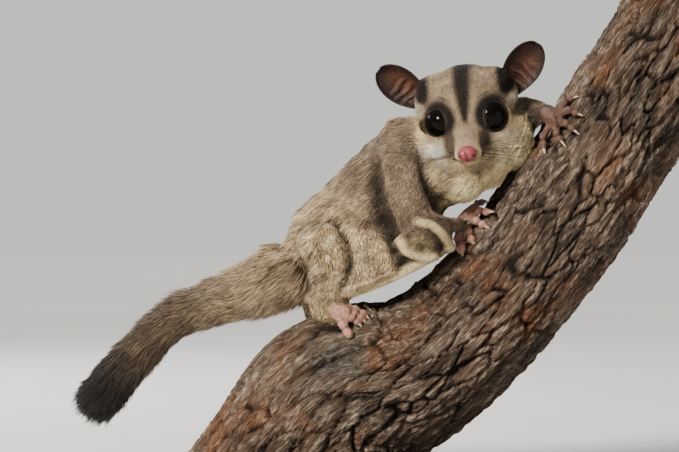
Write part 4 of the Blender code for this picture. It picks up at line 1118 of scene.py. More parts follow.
def flesh_pieces():
    """Copies of the flesh solids, with the tail's core, the membrane's rims and the corners of the skull."""
    pieces = []
    for name in FLESH:
        piece = bpy.data.objects.new("flesh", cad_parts[name].data.copy())
        bpy.context.scene.collection.objects.link(piece)
        pieces.append(outwards(piece))
    line = smooth_path(TAIL_LINE, 50)
    core = np.interp(np.linspace(0, 1, 50), (0.0, 0.12, 0.3), (0.88, 0.80, TAIL_CORE))
    pieces.append(tube("flesh", line[:, :3], line[:, 3] * core - SWELL, 20))
    taper = 0.4 + 0.6 * np.sin(np.pi * np.linspace(0.06, 0.94, 20)) ** 0.6
    for edge, radius in ((WRIST_EDGE, 1.7), (POUCH_EDGE, 1.6), (MEMBRANE_EDGE, 1.5)):
        pieces.append(tube("flesh", smooth_path(edge, 20), radius * taper, 10))
    for side, _ in SIDES:
        deselect_all()
        bpy.ops.mesh.primitive_uv_sphere_add(segments=24, ring_count=16, radius=1.0)
        corner = bpy.context.object
        ball = mesh_arrays(corner)[0] * MM * SKULL_RADII
        ball = on_head(side * SKULL_CORNER[0], *SKULL_CORNER[1:]) + ball @ HEAD_AXES.T
        corner.data.vertices.foreach_set("co", (ball * MM).ravel())
        pieces.append(corner)
    return pieces


def merge_flesh(grain):
    """All the flesh grown a little and merged into one closed surface, with finer faces on the paws."""
    skin = only(joined("skin", flesh_pieces()))
    bpy.ops.object.mode_set(mode="EDIT")
    bpy.ops.mesh.select_all(action="SELECT")
    bpy.ops.transform.shrink_fatten(value=SWELL * MM)
    bpy.ops.object.mode_set(mode="OBJECT")
    skin.data.remesh_voxel_size = grain
    bpy.ops.object.voxel_remesh()
    even = skin.modifiers.new("Even", "SMOOTH")
    even.factor = 0.5
    even.iterations = 5
    apply_modifiers(skin)
    keep_largest(skin)
    refine_paws(skin)
    return skin


def nearest_of(points, centres):
    """How far each point is from the nearest of a few centres."""
    return np.min([np.linalg.norm(points - centre, axis=1) for centre in centres], axis=0)


class SkinSpots:
    """Which solid each point of the skin belongs to, and how near it is to the features of face and paws."""

    def __init__(self, points, edges):
        self.points, self.edges = points, edges
        self.names = list(FLESH) + list(TAIL_NODES)
        self.parts = nearest_node(points, self.names)
        self.on_face = self.parts == self.names.index("head")
        on_paw = np.isin(self.parts, [self.names.index(n) for n in PAWS])
        self.bare = spread(on_paw.astype(float), edges, 6)
        self.nose_gap = np.linalg.norm(points - on_head(*NOSE_PLACE), axis=1)
        self.eye_gap = nearest_of(points, [eye_centre(side) for side, _ in SIDES])
        far = soft(points[:, 0], 30.0, 38.0)
        wrist_gap = distance_to(points, [n for n in self.names if n.endswith(("_lower", "_heel"))])
        self.sleeve = np.where(on_paw, fade(wrist_gap, 0.8 + 1.4 * far, 3.8 + 3.2 * far), 0.0)
        x, y, z = points.T
        self.jaw = hump(beside_line(JAW, x, z)[0], 1.5) * soft(-y, 5.0, 9.0)
        rims = ([(q[0], q[2]) for q in edge] for edge in (WRIST_EDGE, POUCH_EDGE, MEMBRANE_EDGE))
        rim_gap = np.min([beside_line(rim, x, z)[0] for rim in rims], axis=0)
        self.at_rim = np.where(y < -9.0, fade(rim_gap, 1.6, 3.2), 0.0) * ~self.on_face
        self.table = self.coat_table(on_paw)

    def coat_table(self, on_paw):
        """A row of COAT for each point, shorter and finer near nose, eyes and paws, and evened out."""

        def face(values):
            return np.where(self.on_face, values, 1.0)

        table = np.array([COAT[region_of(n)] for n in self.names])[self.parts]
        off_nose = face(soft(self.nose_gap, 4.0, 26.0))
        ear_tufts = [on_head(side * EAR_TUFT[0], *EAR_TUFT[1:]) for side, _ in SIDES]
        at_ear = fade(nearest_of(self.points, ear_tufts), 4.0, 8.0)
        table[:, INSET] *= 0.25 + 0.75 * off_nose
        table[:, INSET] *= face(soft(self.eye_gap, EYE_RADIUS + 0.6, EYE_RADIUS + 4.5))
        table[:, LENGTH] *= face(0.30 + 0.70 * off_nose)
        table[:, LENGTH] *= face(0.45 + 0.55 * soft(self.eye_gap, EYE_RADIUS + 0.8, EYE_RADIUS + 7.0))
        table[:, WIDTH] *= face(0.60 + 0.40 * off_nose)
        table[:, COVER] *= face(1.0 + 0.9 * (1.0 - off_nose))
        table[:, LENGTH] *= face(1.0 + 0.5 * soft(from_head(self.points)[:, 1], 2.0, 14.0))
        off_paw = 0.36 + 0.64 * soft(distance_to(self.points, PAWS), 0.5, 9.0)
        table[:, LENGTH] *= np.where(on_paw | self.on_face, 1.0, off_paw)
        table[:, LENGTH] += self.sleeve * 1.2
        table[:, WIDTH] += self.sleeve * 0.10
        table[:, COVER] += self.sleeve * 3.4
        table[:, LENGTH] *= face(1.0 + 0.2 * at_ear)
        table[:, RISE] += np.where(self.on_face, 3.0 * at_ear, 0.0)
        table = spread(table, self.edges, 14)
        naked = self.on_face & ((self.eye_gap < EYE_RADIUS + 0.55) | (self.nose_gap < 3.9))
        table[:, COVER] *= np.where(naked, 0.0, 1.0)
        table[:, LENGTH] *= 1.0 - 0.68 * self.at_rim
        table[:, WIDTH] *= 1.0 - 0.25 * self.at_rim
        return table

    def depth(self):
        """How far the skin is drawn in: by the coat, and more in the creases and under the jaw."""
        depth = self.table[:, INSET] + SWELL
        depth = np.where(self.on_face & (self.eye_gap < EYE_RADIUS + 1.2), SWELL * 0.2, depth)
        depth = spread(depth, self.edges, 3)
        x, y, z = self.points.T
        outside = soft(np.abs(y - BRANCH_DEPTH + 4.0), 10.0, 16.0)
        for crease in CREASES:
            gap, _ = beside_line(crease, x, z)
            depth = depth + CREASE_DEPTH * hump(gap, CREASE_WIDTH) * outside * (1.0 - self.bare)
        return (depth + 0.7 * self.jaw) * (1.0 - 0.85 * self.at_rim)


def evened(points, edges):
    """The points with the collar and the crown smoothed, where several solids meet."""
    crown = from_head(points)
    collar = np.linalg.norm((points - COLLAR_PLACE) / COLLAR_RADII, axis=1)
    share = np.maximum(fade(collar, 0.7, 1.1), soft(crown[:, 2], 9.0, 13.0) * soft(-crown[:, 1], -10.0, -5.0))
    share *= 1.0 - soft(np.abs(crown[:, 0]), 17.0, 19.0) * (collar > 1.1)
    return points + share[:, None] * (spread(points, edges, 40) - points)


def skin_tint(points, normals, edges, spots, folds):
    """The colours of coat and bare skin, with painted shade in hollows, in folds and along the jaw, from the
    nose to the end of the tail.
    """
    coat = bpy.context.scene.glider_coat
    back = np.array(coat.back)
    x, y, z = points.T
    tint = spread(body_markings(points, spots, coat), edges, 3)
    at_head = spread(spots.on_face.astype(float), edges, 4)[:, None]
    tint = tint * (1 - at_head) + head_markings(points, coat) * at_head
    # painted shade along the crease under the jaw
    tint = tint * (1.0 - 0.2 * spots.jaw)[:, None]
    nape = soft(np.interp(z, *NAPE_EDGE) - x, 0.3, 2.4) * soft(z, 136.0, 141.0)
    tint = laid(tint, nape * (fade(z, 157.0, 161.0) * soft(-y, -2.0, 4.0)), back)
    # painted shade in hollows and painted light on bulges, weaker on the face
    hollow = ((spread(points, edges, 60) - points) * normals).sum(1)
    tint = tint * np.clip(1.0 - np.where(spots.on_face, 0.22, 0.6) * hollow, 0.45, 1.2)[:, None]
    # painted shade in the folds of fingers and toes
    pink = np.array(bpy.context.scene.glider_skin.paw) * (1.0 - 0.6 * folds)[:, None]
    cuff = np.where(points[:, 0:1] > -20.0, back, np.array(coat.cream) * 0.7)
    sleeve = spots.sleeve[:, None]
    paw_tint = pink * (1 - 0.7 * sleeve) + cuff * 0.7 * sleeve
    paw_tint = paw_tint * (1 - 0.70 * soft(points[:, 0:1], 30.0, 38.0))  # the far hand is in shade
    return tint * (1 - spots.bare[:, None]) + paw_tint * spots.bare[:, None]


def make_skin():
    """One skin from all the flesh, drawn in by the coat's depth, with its colours and the lie of its coat."""
    skin = merge_flesh(bpy.context.scene.glider_skin.grain)
    points, normals, _, edges = mesh_arrays(skin)
    points = evened(points, edges)
    spots = SkinSpots(points, edges)
    knuckles, folds = digit_forms(points)
    depth = spots.depth() - knuckles * soft(spots.bare, 0.3, 0.8)
    points = points - unit(spread(normals, edges, 8)) * depth[:, None]
    skin.data.vertices.foreach_set("co", (points * MM).ravel())
    skin.data.update()
    points, normals, triangles, edges = mesh_arrays(skin)
    lie = spread(lie_of_coat(points, spots), edges, 30)
    normals = unit(spread(normals, edges, 4))
    lie = unit(lie - normals * (lie * normals).sum(1, keepdims=True))
    tint = skin_tint(points, normals, edges, spots, folds)
    store_tint(skin, tint * np.where(spots.bare > 0.5, 1.0, 0.62)[:, None])
    layer = skin.data.attributes.new("bare", "FLOAT", "POINT")
    layer.data.foreach_set("value", spots.bare.astype(np.float32))
    smooth(skin)
    finish_piece(skin, skin_finish(), FLESH + TAIL_NODES)
    SKIN.update(
        points=points, normals=normals, triangles=triangles, table=spots.table, lie=lie, tint=tint,
        wander=np.array([noise.noise_vector(Vector(p) * 0.09) for p in points.tolist()]),
        parts=spots.parts, names=spots.names, object=skin,
    )


def store_tint(obj, tint):
    """Keeps a colour at each point of a mesh, which the materials read as tint."""
    layer = obj.data.color_attributes.new("tint", "FLOAT_COLOR", "POINT")
    values = np.ones((len(obj.data.vertices), 4), np.float32)
    values[:, :3] = np.clip(tint, 0.0, 1.0)
    layer.data.foreach_set("color", values.ravel())


def tuft_mesh(name, rings, seed, root, normal, lie, size, width, rise, tint, place, pull, curl):
    """Many tapered three-sided tufts in one mesh, each closed, following the lie of the coat."""
    dice = np.random.default_rng(seed)
    count, corners = len(root), 3 * rings + 1
    side = np.cross(normal, lie)
    spin = dice.uniform(-0.6, 0.6, count)[:, None]
    broad = unit(side * np.cos(spin) + normal * np.sin(spin))
    thick = unit(np.cross(lie, broad))
    rise = np.radians(rise)[:, None]
    size, width = size[:, None], width[:, None]
    breadth = {2: (0.75, 0.9), 3: (0.7, 1.0, 0.72)}[rings]
    shades = {2: (0.36, 0.82, 1.22), 3: (0.36, 0.66, 1.0, 1.22)}[rings]  # dark at the root, pale at the tip
    verts = np.empty((count, corners, 3))
    tints = np.empty((count, corners, 3))
    for j, t in enumerate(np.linspace(0.0, 1.0, rings + 1)):
        high = size * np.sin(rise) * (t - 0.35 * t * t) * 1.25
        centre = root + lie * (size * np.cos(rise) * t) + normal * high
        centre = centre + pull * t**1.4 + side * (curl[:, None] * size * t * t)
        if j == 0:
            centre = centre - normal * (0.25 + 0.15 * width)
        if j == rings:
            verts[:, -1] = centre
            tints[:, -1] = tint * shades[j]
            continue
        w = width * breadth[j] * 0.5
        verts[:, 3 * j] = centre - broad * w
        verts[:, 3 * j + 1] = centre + broad * w
        verts[:, 3 * j + 2] = centre + thick * (w * 0.9)
        tints[:, 3 * j:3 * j + 3] = (tint * shades[j])[:, None, :]
    faces = [(0, 1, 2)]
    for a in range(0, 3 * rings - 3, 3):
        for i in range(3):
            n = (i + 1) % 3
            faces += [(a + i, a + 3 + i, a + 3 + n), (a + i, a + 3 + n, a + n)]
    last = 3 * rings - 3
    faces += [(last + i, 3 * rings, last + (i + 1) % 3) for i in range(3)]
    faces = (np.array(faces)[None] + (np.arange(count) * corners)[:, None, None]).reshape(-1, 3)
    mesh = bpy.data.meshes.new(name)
    mesh.vertices.add(count * corners)
    mesh.vertices.foreach_set("co", (verts * MM).ravel())
    mesh.loops.add(faces.size)
    mesh.loops.foreach_set("vertex_index", faces.ravel())
    mesh.polygons.add(len(faces))
    mesh.polygons.foreach_set("loop_start", np.arange(0, faces.size, 3))
    mesh.polygons.foreach_set("use_smooth", np.ones(len(faces), bool))
    mesh.update(calc_edges=True)
    obj = bpy.data.objects.new(name, mesh)
    bpy.context.scene.collection.objects.link(obj)
    store_tint(obj, tints.reshape(-1, 3))
    # each tuft keeps a small patch of the map at its root's place on the skin's unwrap
    local = np.zeros((corners, 2))
    for j in range(rings):
        for i, across in enumerate((-1.0, 1.0, 0.0)):
            local[3 * j + i] = (across * PATCH_HALF_WIDTH, (j / rings - 0.5) * PATCH)
    local[-1] = (0.0, 0.5 * PATCH)
    at = (np.clip(place, PATCH, 1.0 - PATCH)[:, None, :] + local[None]).reshape(-1, 2)
    layer = mesh.uv_layers.new(name="OFBake")
    layer.data.foreach_set("uv", at[faces.ravel()].astype(np.float32).ravel())
    return obj


def skin_unwrap():
    """A lighter copy of the skin with an unwrap of its own shape: search tree, triangles, places and map."""
    copy = bpy.data.objects.new("unwrap", SKIN["object"].data.copy())
    bpy.context.scene.collection.objects.link(copy)
    lighter = copy.modifiers.new("Lighter", "DECIMATE")
    lighter.ratio = 0.09
    apply_modifiers(copy)
    bpy.ops.object.mode_set(mode="EDIT")
    bpy.ops.mesh.select_all(action="SELECT")
    bpy.ops.mesh.quads_convert_to_tris()
    bpy.ops.uv.smart_project(angle_limit=math.radians(66), island_margin=0.004)
    bpy.ops.object.mode_set(mode="OBJECT")
    points, _, _, _ = mesh_arrays(copy)
    faces = np.zeros(len(copy.data.loops), np.int64)
    copy.data.loops.foreach_get("vertex_index", faces)
    uv = np.zeros(len(copy.data.loops) * 2)
    copy.data.uv_layers.active.data.foreach_get("uv", uv)
    faces, uv = faces.reshape(-1, 3), uv.reshape(-1, 3, 2)
    tree = BVHTree.FromPolygons(points.tolist(), faces.tolist())
    bpy.data.objects.remove(copy)
    return tree, points, faces, uv


def map_places(roots, unwrap):
    """Where each root lies on the map of the unwrapped skin."""
    tree, points, faces, uv = unwrap
    hits = [tree.find_nearest(Vector(p)) for p in roots.tolist()]
    face = np.array([h[2] for h in hits])
    spot = np.array([tuple(h[0]) for h in hits])
    a, b, c = (points[faces[face, k]] for k in range(3))
    whole = np.linalg.norm(np.cross(b - a, c - a), axis=1) + 1e-12
    wa = np.linalg.norm(np.cross(b - spot, c - spot), axis=1) / whole
    wb = np.linalg.norm(np.cross(c - spot, a - spot), axis=1) / whole
    wc = np.clip(1 - wa - wb, 0, 1)
    return uv[face, 0] * wa[:, None] + uv[face, 1] * wb[:, None] + uv[face, 2] * wc[:, None]


def sparse_tree(places, step):
    """A search tree of every so many places, and their numbers."""
    chosen = np.arange(0, len(places), step)
    tree = KDTree(len(chosen))
    for number, index in enumerate(chosen):
        tree.insert(places[index], number)
    tree.balance()
    return tree, chosen


def noise_at(places, scale):
    """Soft noise at each place, finer where the scale is larger."""
    return np.array([noise.noise(Vector(p) * scale) for p in places.tolist()])


def scattered(dice, share):
    """The roots of the tufts, spread evenly over the skin by its cover, with all that the skin gives them."""
    points, triangles = SKIN["points"], SKIN["triangles"]
    a, b, c = (points[triangles[:, k]] for k in range(3))
    area = 0.5 * np.linalg.norm(np.cross(b - a, c - a), axis=1)
    wanted = area * SKIN["table"][:, COVER][triangles].mean(1) * share
    total = int(wanted.sum())
    edges = np.cumsum(wanted)
    pick = np.searchsorted(edges, (np.arange(total) + dice.uniform(0, 1, total)) / total * edges[-1])
    pick = np.minimum(pick, len(triangles) - 1)
    u, v = np.sqrt(dice.uniform(0, 1, total)), dice.uniform(0, 1, total)
    weights = np.stack([1 - u, u * (1 - v), u * v], 1)[:, :, None]
    carried = {
        key: (SKIN[key][triangles[pick]] * weights).sum(1)
        for key in ("points", "normals", "lie", "wander", "tint", "table")
    }
    return carried, SKIN["parts"][triangles[pick, 0]]


def make_coat():
    """Tufts over the whole skin, gathered in clumps and locks, in pieces by region."""
    coat = bpy.context.scene.glider_coat
    dice = np.random.default_rng(21)
    found, parts = scattered(dice, coat.cover)
    root, wander, tint = found["points"], found["wander"], found["tint"]
    total, names = len(root), SKIN["names"]
    normal = unit(found["normals"])
    size = found["table"][:, LENGTH] * coat.tuft * dice.uniform(0.75, 1.2, total)
    width = found["table"][:, WIDTH] * dice.uniform(0.8, 1.32, total)
    rise = found["table"][:, RISE] * dice.uniform(0.7, 1.3, total)
    lie = found["lie"] - normal * (found["lie"] * normal).sum(1, keepdims=True)
    side = np.cross(normal, unit(lie))
    loose = np.array([LOOSE[region_of(n)] for n in names])[parts]
    sway = (0.22 + 0.33 * loose[:, None]) * wander[:, :1] + dice.normal(0, 0.10, (total, 1))
    lie = unit(lie + side * sway)

    # tips gather towards the nearest of a sparse set of roots
    tree, middles = sparse_tree(root, CLUMP_STEP)
    clump = np.array([tree.find(p)[1] for p in root.tolist()])
    towards = root[middles[clump]] - root
    reach = np.maximum(np.linalg.norm(towards, axis=1, keepdims=True), 1e-6)
    pull = towards * np.minimum(1.0, size[:, None] * 0.5 / reach)
    pull = pull * coat.clump * (0.35 + 0.65 * loose[:, None])
    rise = rise * (1.0 + (0.1 + 0.4 * loose) * wander[:, 2])

    # wider locks, drawn out along the trunk, with lower tufts and painted shade in the gaps between them
    drawn = unit(np.array((-0.75, 0.1, -0.6)))
    spots = root - 0.55 * (root @ drawn)[:, None] * drawn + wander * 1.5
    tree, locks = sparse_tree(spots, LOCK_STEP)
    pairs = [tree.find_n(p, 2) for p in spots.tolist()]
    lock = np.array([pair[0][1] for pair in pairs])
    gap = fade(np.array([pair[1][2] - pair[0][2] for pair in pairs]), 0.1, 1.3)
    rise = rise * dice.normal(1.0, 0.12, len(locks))[lock] * (1.0 - 0.3 * gap * loose)

    # uneven shades: by clump, by tuft, by lock, painted shade in the gaps, in single pale and dark tufts, and
    # in patches
    shade = dice.normal(1.0, 0.09, len(middles))[clump] * dice.normal(1.0, 0.08, total)
    shade *= 1.0 + (dice.normal(1.0, 0.14, len(locks))[lock] - 1.0) * loose
    shade *= 1.0 - 0.52 * gap * loose
    for odd in (0.7, 1.2):
        shade *= np.where(dice.uniform(0, 1, total) < 0.08, odd, 1.0)
    mottled = np.where(np.isin(parts, [names.index(n) for n in PALE_NODES]), 0.15, 1.0)
    shade *= 1.0 + (0.30 * noise_at(root, 0.42) + 0.34 * noise_at(root, 0.13)) * mottled
    tint = tint * np.clip(shade, 0.3, 1.5)[:, None]
    on_tail = np.isin(parts, [names.index(n) for n in TAIL_NODES])
    pull = pull * np.where(on_tail, 0.5, 1.0)[:, None]
    curl = 0.10 * wander[:, 1] + dice.normal(0, 0.05, total)
    place = map_places(root, skin_unwrap())
    coat_pieces(parts, {
        "root": root, "normal": normal, "lie": lie, "size": size, "width": width, "rise": rise,
        "tint": tint, "place": place, "pull": pull, "curl": curl,
    })


def coat_pieces(parts, tufts):
    """The tufts as pieces by region, each piece small enough."""
    fur, names, root = fur_finish(), SKIN["names"], tufts["root"]
    for group, starts, slot_name in (
        ("head", "head", "fur_cream"), ("neck", "neck", "fur_cream"), ("chest", "torso_chest", "fur_grey"),
        ("belly", "torso_belly", "fur_grey"), ("hips", "torso_hips", "fur_tan"),
        ("membranes", "patagium", "fur_cream"), ("forelegs", ("foreleg", "hand"), "fur_grey"),
        ("hindlegs", ("hindleg", "foot"), "fur_tan"), ("tail", "tail", "fur_brown_grey"),
    ):
        wanted = [k for k, name in enumerate(names) if name.startswith(starts)]
        chosen = np.flatnonzero(np.isin(parts, wanted))
        chosen = chosen[np.argsort(root[chosen, 0] + 0.3 * root[chosen, 1], kind="stable")]
        # a tuft of the tail has 16 faces, the others have 10
        rings, limit = (3, TUFTS_A_PIECE * 10 // 16) if group == "tail" else (2, TUFTS_A_PIECE)
        for number, block in enumerate(np.array_split(chosen, max(1, math.ceil(len(chosen) / limit)))):
            part = {key: values[block] for key, values in tufts.items()}
            piece = tuft_mesh(f"coat_{group}_{number + 1}", rings, 40 + number, **part)
            finish_piece(piece, fur)


# The face, and the claws


def make_eyes():
    """Large round glossy eyes, each with its dark lids drawn over the ball."""
    sizes = bpy.context.scene.glider_skin
    glass = eye_finish(tuple(sizes.eye))
    lids = lid_finish(LID_COLOUR)
    for side, word in SIDES:
        centre = Vector(eye_centre(side)) * MM
        deselect_all()
        bpy.ops.mesh.primitive_uv_sphere_add(
            segments=64, ring_count=40, radius=EYE_RADIUS * MM, location=centre
        )
        eye = bpy.context.object
        eye.name = "eyeball_" + word
        bpy.ops.object.transform_apply(location=True, rotation=True, scale=True)
        smooth(eye)
        finish_piece(eye, glass, ("eye_" + word,))
        finish_piece(make_lids(side, word), lids)


def make_lids(side, word):
    """Upper and lower lid as one rim: a thin edge on the ball, a swollen crest and a skirt under the fur."""
    axis = eye_axis(side)
    centre = eye_centre(side)
    across = unit(np.cross(axis, HEAD_AXES @ np.array((0.0, 0.0, 1.0))))
    up = np.cross(across, axis)
    steps, rows = 72, 9
    verts = []
    for k in range(steps):
        a = 2 * math.pi * k / steps
        out = across * math.cos(a) + up * math.sin(a)
        open_radius = LID_CORNER + LID_OPENS * math.sin(a) ** 2
        for j in range(rows):
            t = j / (rows - 1)
            radius = open_radius + LID_WIDTH * t
            if radius < EYE_RADIUS * 0.995:
                on_ball = math.sqrt(EYE_RADIUS**2 - radius**2)
            else:
                on_ball = max(0.0, 0.6 - (radius - EYE_RADIUS) * 0.9)
            swell = 0.62 * math.sin(math.pi * min(1.0, t * 1.5)) ** 0.8 if t < 0.667 else 0.0
            fold = 0.10 * math.sin(t * 22.0) * math.sin(math.pi * t)
            stand = 0.10 + swell + fold
            verts.append(centre + out * (radius + stand * 0.35) + axis * (on_ball * (1.0 - 0.25 * t) + stand))
    for k in range(steps):
        verts.append(verts[k * rows] - axis * 0.8)
        verts.append(verts[k * rows + rows - 1] - axis * 1.6)
    faces = []
    edge = steps * rows
    for k in range(steps):
        n = (k + 1) % steps
        for j in range(rows - 1):
            faces.append((k * rows + j, n * rows + j, n * rows + j + 1, k * rows + j + 1))
        faces.append((edge + 2 * k, edge + 2 * n, n * rows, k * rows))
        faces.append((k * rows + rows - 1, n * rows + rows - 1, edge + 2 * n + 1, edge + 2 * k + 1))
        faces.append((edge + 2 * n, edge + 2 * k, edge + 2 * k + 1, edge + 2 * n + 1))
    return smooth(outwards(mesh_object("lids_" + word, verts, faces)))


def make_nose():
    """The bare nose: two pads parted by a groove, with comma-shaped nostrils opening to the sides."""
    sizes = bpy.context.scene.glider_skin
    deselect_all()
    bpy.ops.mesh.primitive_uv_sphere_add(segments=72, ring_count=48, radius=1.0)
    nose = bpy.context.object
    nose.name = "nose_pad"
    ball = mesh_arrays(nose)[0] * MM
    x, y, z = ball.T
    wide, deep, tall = NOSE_RADII
    shape = np.stack([x * wide * (1.0 + 0.20 * z), y * deep, z * tall * (1.0 - 0.10 * np.abs(x))], 1)
    front = soft(-y, 0.1, 0.6)
    aside = np.abs(x)
    groove = hump(x, 0.13) * front * soft(-z, -0.75, -0.1)
    slit = np.exp(-(((aside - 0.76) / 0.17) ** 2 + ((z + 0.12 + 0.7 * (aside - 0.76)) / 0.12) ** 2)) * front
    rim = np.exp(-(((aside - 0.48) / 0.34) ** 2 + ((z + 0.05) / 0.50) ** 2)) * front
    shape = shape - unit(ball) * (0.75 * groove + 1.1 * slit - 0.42 * rim)[:, None]
    world = np.array([on_head(*NOSE_PLACE)]) + shape @ HEAD_AXES.T
    nose.data.vertices.foreach_set("co", (world * MM).ravel())
    # painted shade in the nostrils and the groove; lighter towards the top
    shaded = 1.0 - 0.8 * np.clip(slit * 1.2, 0, 1) - 0.35 * groove
    store_tint(nose, np.array(sizes.nose) * (1.0 + 0.30 * soft(z[:, None], 0.2, 1.0)) * shaded[:, None])
    smooth(nose)
    finish_piece(nose, nose_finish(tuple(sizes.nose)), ("nose",))


def ear_ripple(run, spot):
    """The low waves that cross the inside of the ear."""
    return np.sin(run * 40.0 + 2.6 * spot + 1.1 * np.sin(5.0 * spot + 9.0 * run))


def ear_tint(run, spot, side, skin_colour):
    """The ear's colours: painted light shining through its middle, paler ripples and a dark edge."""
    crest = soft(ear_ripple(run, spot), 0.1, 0.9) * soft(run, 0.06, 0.2) * fade(run, 0.35, 0.7)
    crest = crest * fade(np.abs(spot - 0.3 * side), 0.3, 0.8)
    # painted light: the glow of light shining through the thin middle of the ear
    glow = hump(spot - 0.1, 0.55) * soft(run, 0.05, 0.4) * fade(run, 0.62, 0.98)
    tint = skin_colour * (0.8 + 0.4 * glow)[:, None] + np.array((0.070, 0.023, 0.011)) * glow[:, None]
    edge = soft(np.abs(spot), 0.82, 1.0) + soft(run, 0.9, 1.0)
    tint = tint * (1 - 0.45 * np.clip(edge, 0, 1))[:, None]
    return tint + np.array((0.055, 0.033, 0.024)) * crest[:, None]


def make_ears():
    """Thin cupped ears, folded in low ripples inside and rolled at their rim."""
    sizes = bpy.context.scene.glider_skin
    skin = ear_finish(tuple(sizes.ear))
    columns, rows = 45, 54
    v = np.linspace(0.0, 0.992, rows)[:, None]
    u = np.linspace(-1.0, 1.0, columns)[None, :]
    k = (np.arange(rows - 1)[:, None] * columns + np.arange(columns - 1)[None, :]).reshape(-1, 1)
    faces = k + np.array((0, 1, columns + 1, columns))
    tip = np.sqrt(np.maximum(0.0, 1.0 - ((v - 0.5) / 0.5) ** 2))
    wide = np.where(v < 0.5, 0.58 + 0.42 * np.sin(np.pi * v), tip)
    deep = 4.2 * (1.0 - v) ** 0.8 + 1.2 * wide
    cup = deep * (1.0 - u * u) - 1.4 * v * v
    roll = 0.9 * soft(np.abs(u), 0.86, 1.0) * wide
    for side, word in SIDES:
        rise = math.radians(EAR_RISE[side])
        long = unit(HEAD_AXES @ np.array((side * math.cos(rise), 0.12, math.sin(rise))))
        ahead = HEAD_AXES @ np.array((side * 0.35, -1.0, 0.0))
        opening = unit(ahead - long * ahead.dot(long))
        across = np.cross(long, opening)
        base = on_head(side * EAR_PLACE[0], EAR_PLACE[1], EAR_PLACE[2])
        bands = 0.55 * ear_ripple(v, u) * soft(v, 0.08, 0.2) * soft(-v, -0.72, -0.4)
        bands = bands * fade(np.abs(u - 0.3 * side), 0.3, 0.8)
        tragus = 1.5 * np.exp(-(((u - 0.35 * side) / 0.30) ** 2 + ((v - 0.16) / 0.10) ** 2))
        height = roll - cup + bands + tragus
        grid = (
            base
            + long * (EAR_LENGTH * v[..., None] * np.ones_like(u)[..., None])
            + across * (0.5 * EAR_WIDTH * (wide * u))[..., None]
            + opening * height[..., None]
        )
        ear = mesh_object("ear_shell_" + word, grid.reshape(-1, 3), faces)
        thick = ear.modifiers.new("Thick", "SOLIDIFY")
        thick.thickness = 0.00055
        thick.offset = 0.0
        outwards(apply_modifiers(ear))
        rel = mesh_arrays(ear)[0] - base
        run, spot = rel @ long / EAR_LENGTH, rel @ across / (0.5 * EAR_WIDTH)
        store_tint(ear, ear_tint(run, spot, side, np.array(sizes.ear)))
        finish_piece(smooth(ear), skin, ("ear_" + word,))


def make_whiskers():
    """Fine dark whiskers in rows on the muzzle and two above each eye."""
    sizes = bpy.context.scene.glider_skin
    dice = np.random.default_rng(3)
    rows = [((5.0 + 0.6 * k, -24.5 + 2.2 * k, -8.4 - 1.15 * row), 1.0 - 0.13 * row)
            for row in range(4) for k in range(4)]
    brows = [((6.5, -14.0, 10.5), 0.4), ((7.5, -13.0, 11.0), 0.35)]
    t = np.linspace(0, 1, 9)[:, None]
    pieces = []
    for side, _ in SIDES:
        for (x, y, z), share in rows + brows:
            size = sizes.whisker_length / MM * share * dice.uniform(0.7, 1.0)
            start = on_head(side * (x - 1.4), y + 1.0, z)
            tilt = dice.uniform(-0.25, 0.2) + (0.5 if z > 0 else 0.08 * (z + 8.4))
            way = unit(np.array((side * 0.86, 0.42 + 0.1 * dice.uniform(-1, 1), tilt)))
            droop = np.array((0.0, 0.25, -0.35)) * size * 0.35
            line = start + (t * size * way + t * t * droop) @ HEAD_AXES.T
            pieces.append(tube("whisker", line, WHISKER_RADIUS * (1 - 0.82 * t[:, 0]), 4))
    finish_piece(smooth(joined("whiskers", pieces)), whisker_finish())


def make_claws():
    """Curved horn claws on every finger and on the toes that have them."""
    horn = np.array(bpy.context.scene.glider_skin.claw)
    finish = claw_finish(tuple(horn))
    t = np.linspace(0, 1, 12)
    for name, digits, far in (
        ("claws_hand_right", HAND_RIGHT, False), ("claws_hand_left", HAND_LEFT, False),
        ("claws_foot_right", FOOT, False), ("claws_foot_left", FOOT, True),
    ):
        pieces = []
        for knuckle, tip, point, _ in digits:
            bend, start, end = (over_bark(*spot, far) for spot in (knuckle, tip, point))
            ahead = unit(start - bend)
            away = unit(start - np.array((start[0], BRANCH_DEPTH, start[2])))
            middle = start * 0.42 + end * 0.58 + ahead * 0.7 + away * 0.55
            line = smooth_path((start - ahead * 0.2, middle, end), len(t))
            pieces.append(tube("claw", line, 0.82 * (1 - t) ** 0.75 + 0.05, 10, 0.7))
        claws = joined(name, pieces)
        store_tint(claws, np.tile(horn, (len(claws.data.vertices), 1)))
        finish_piece(smooth(claws), finish)


# The branch


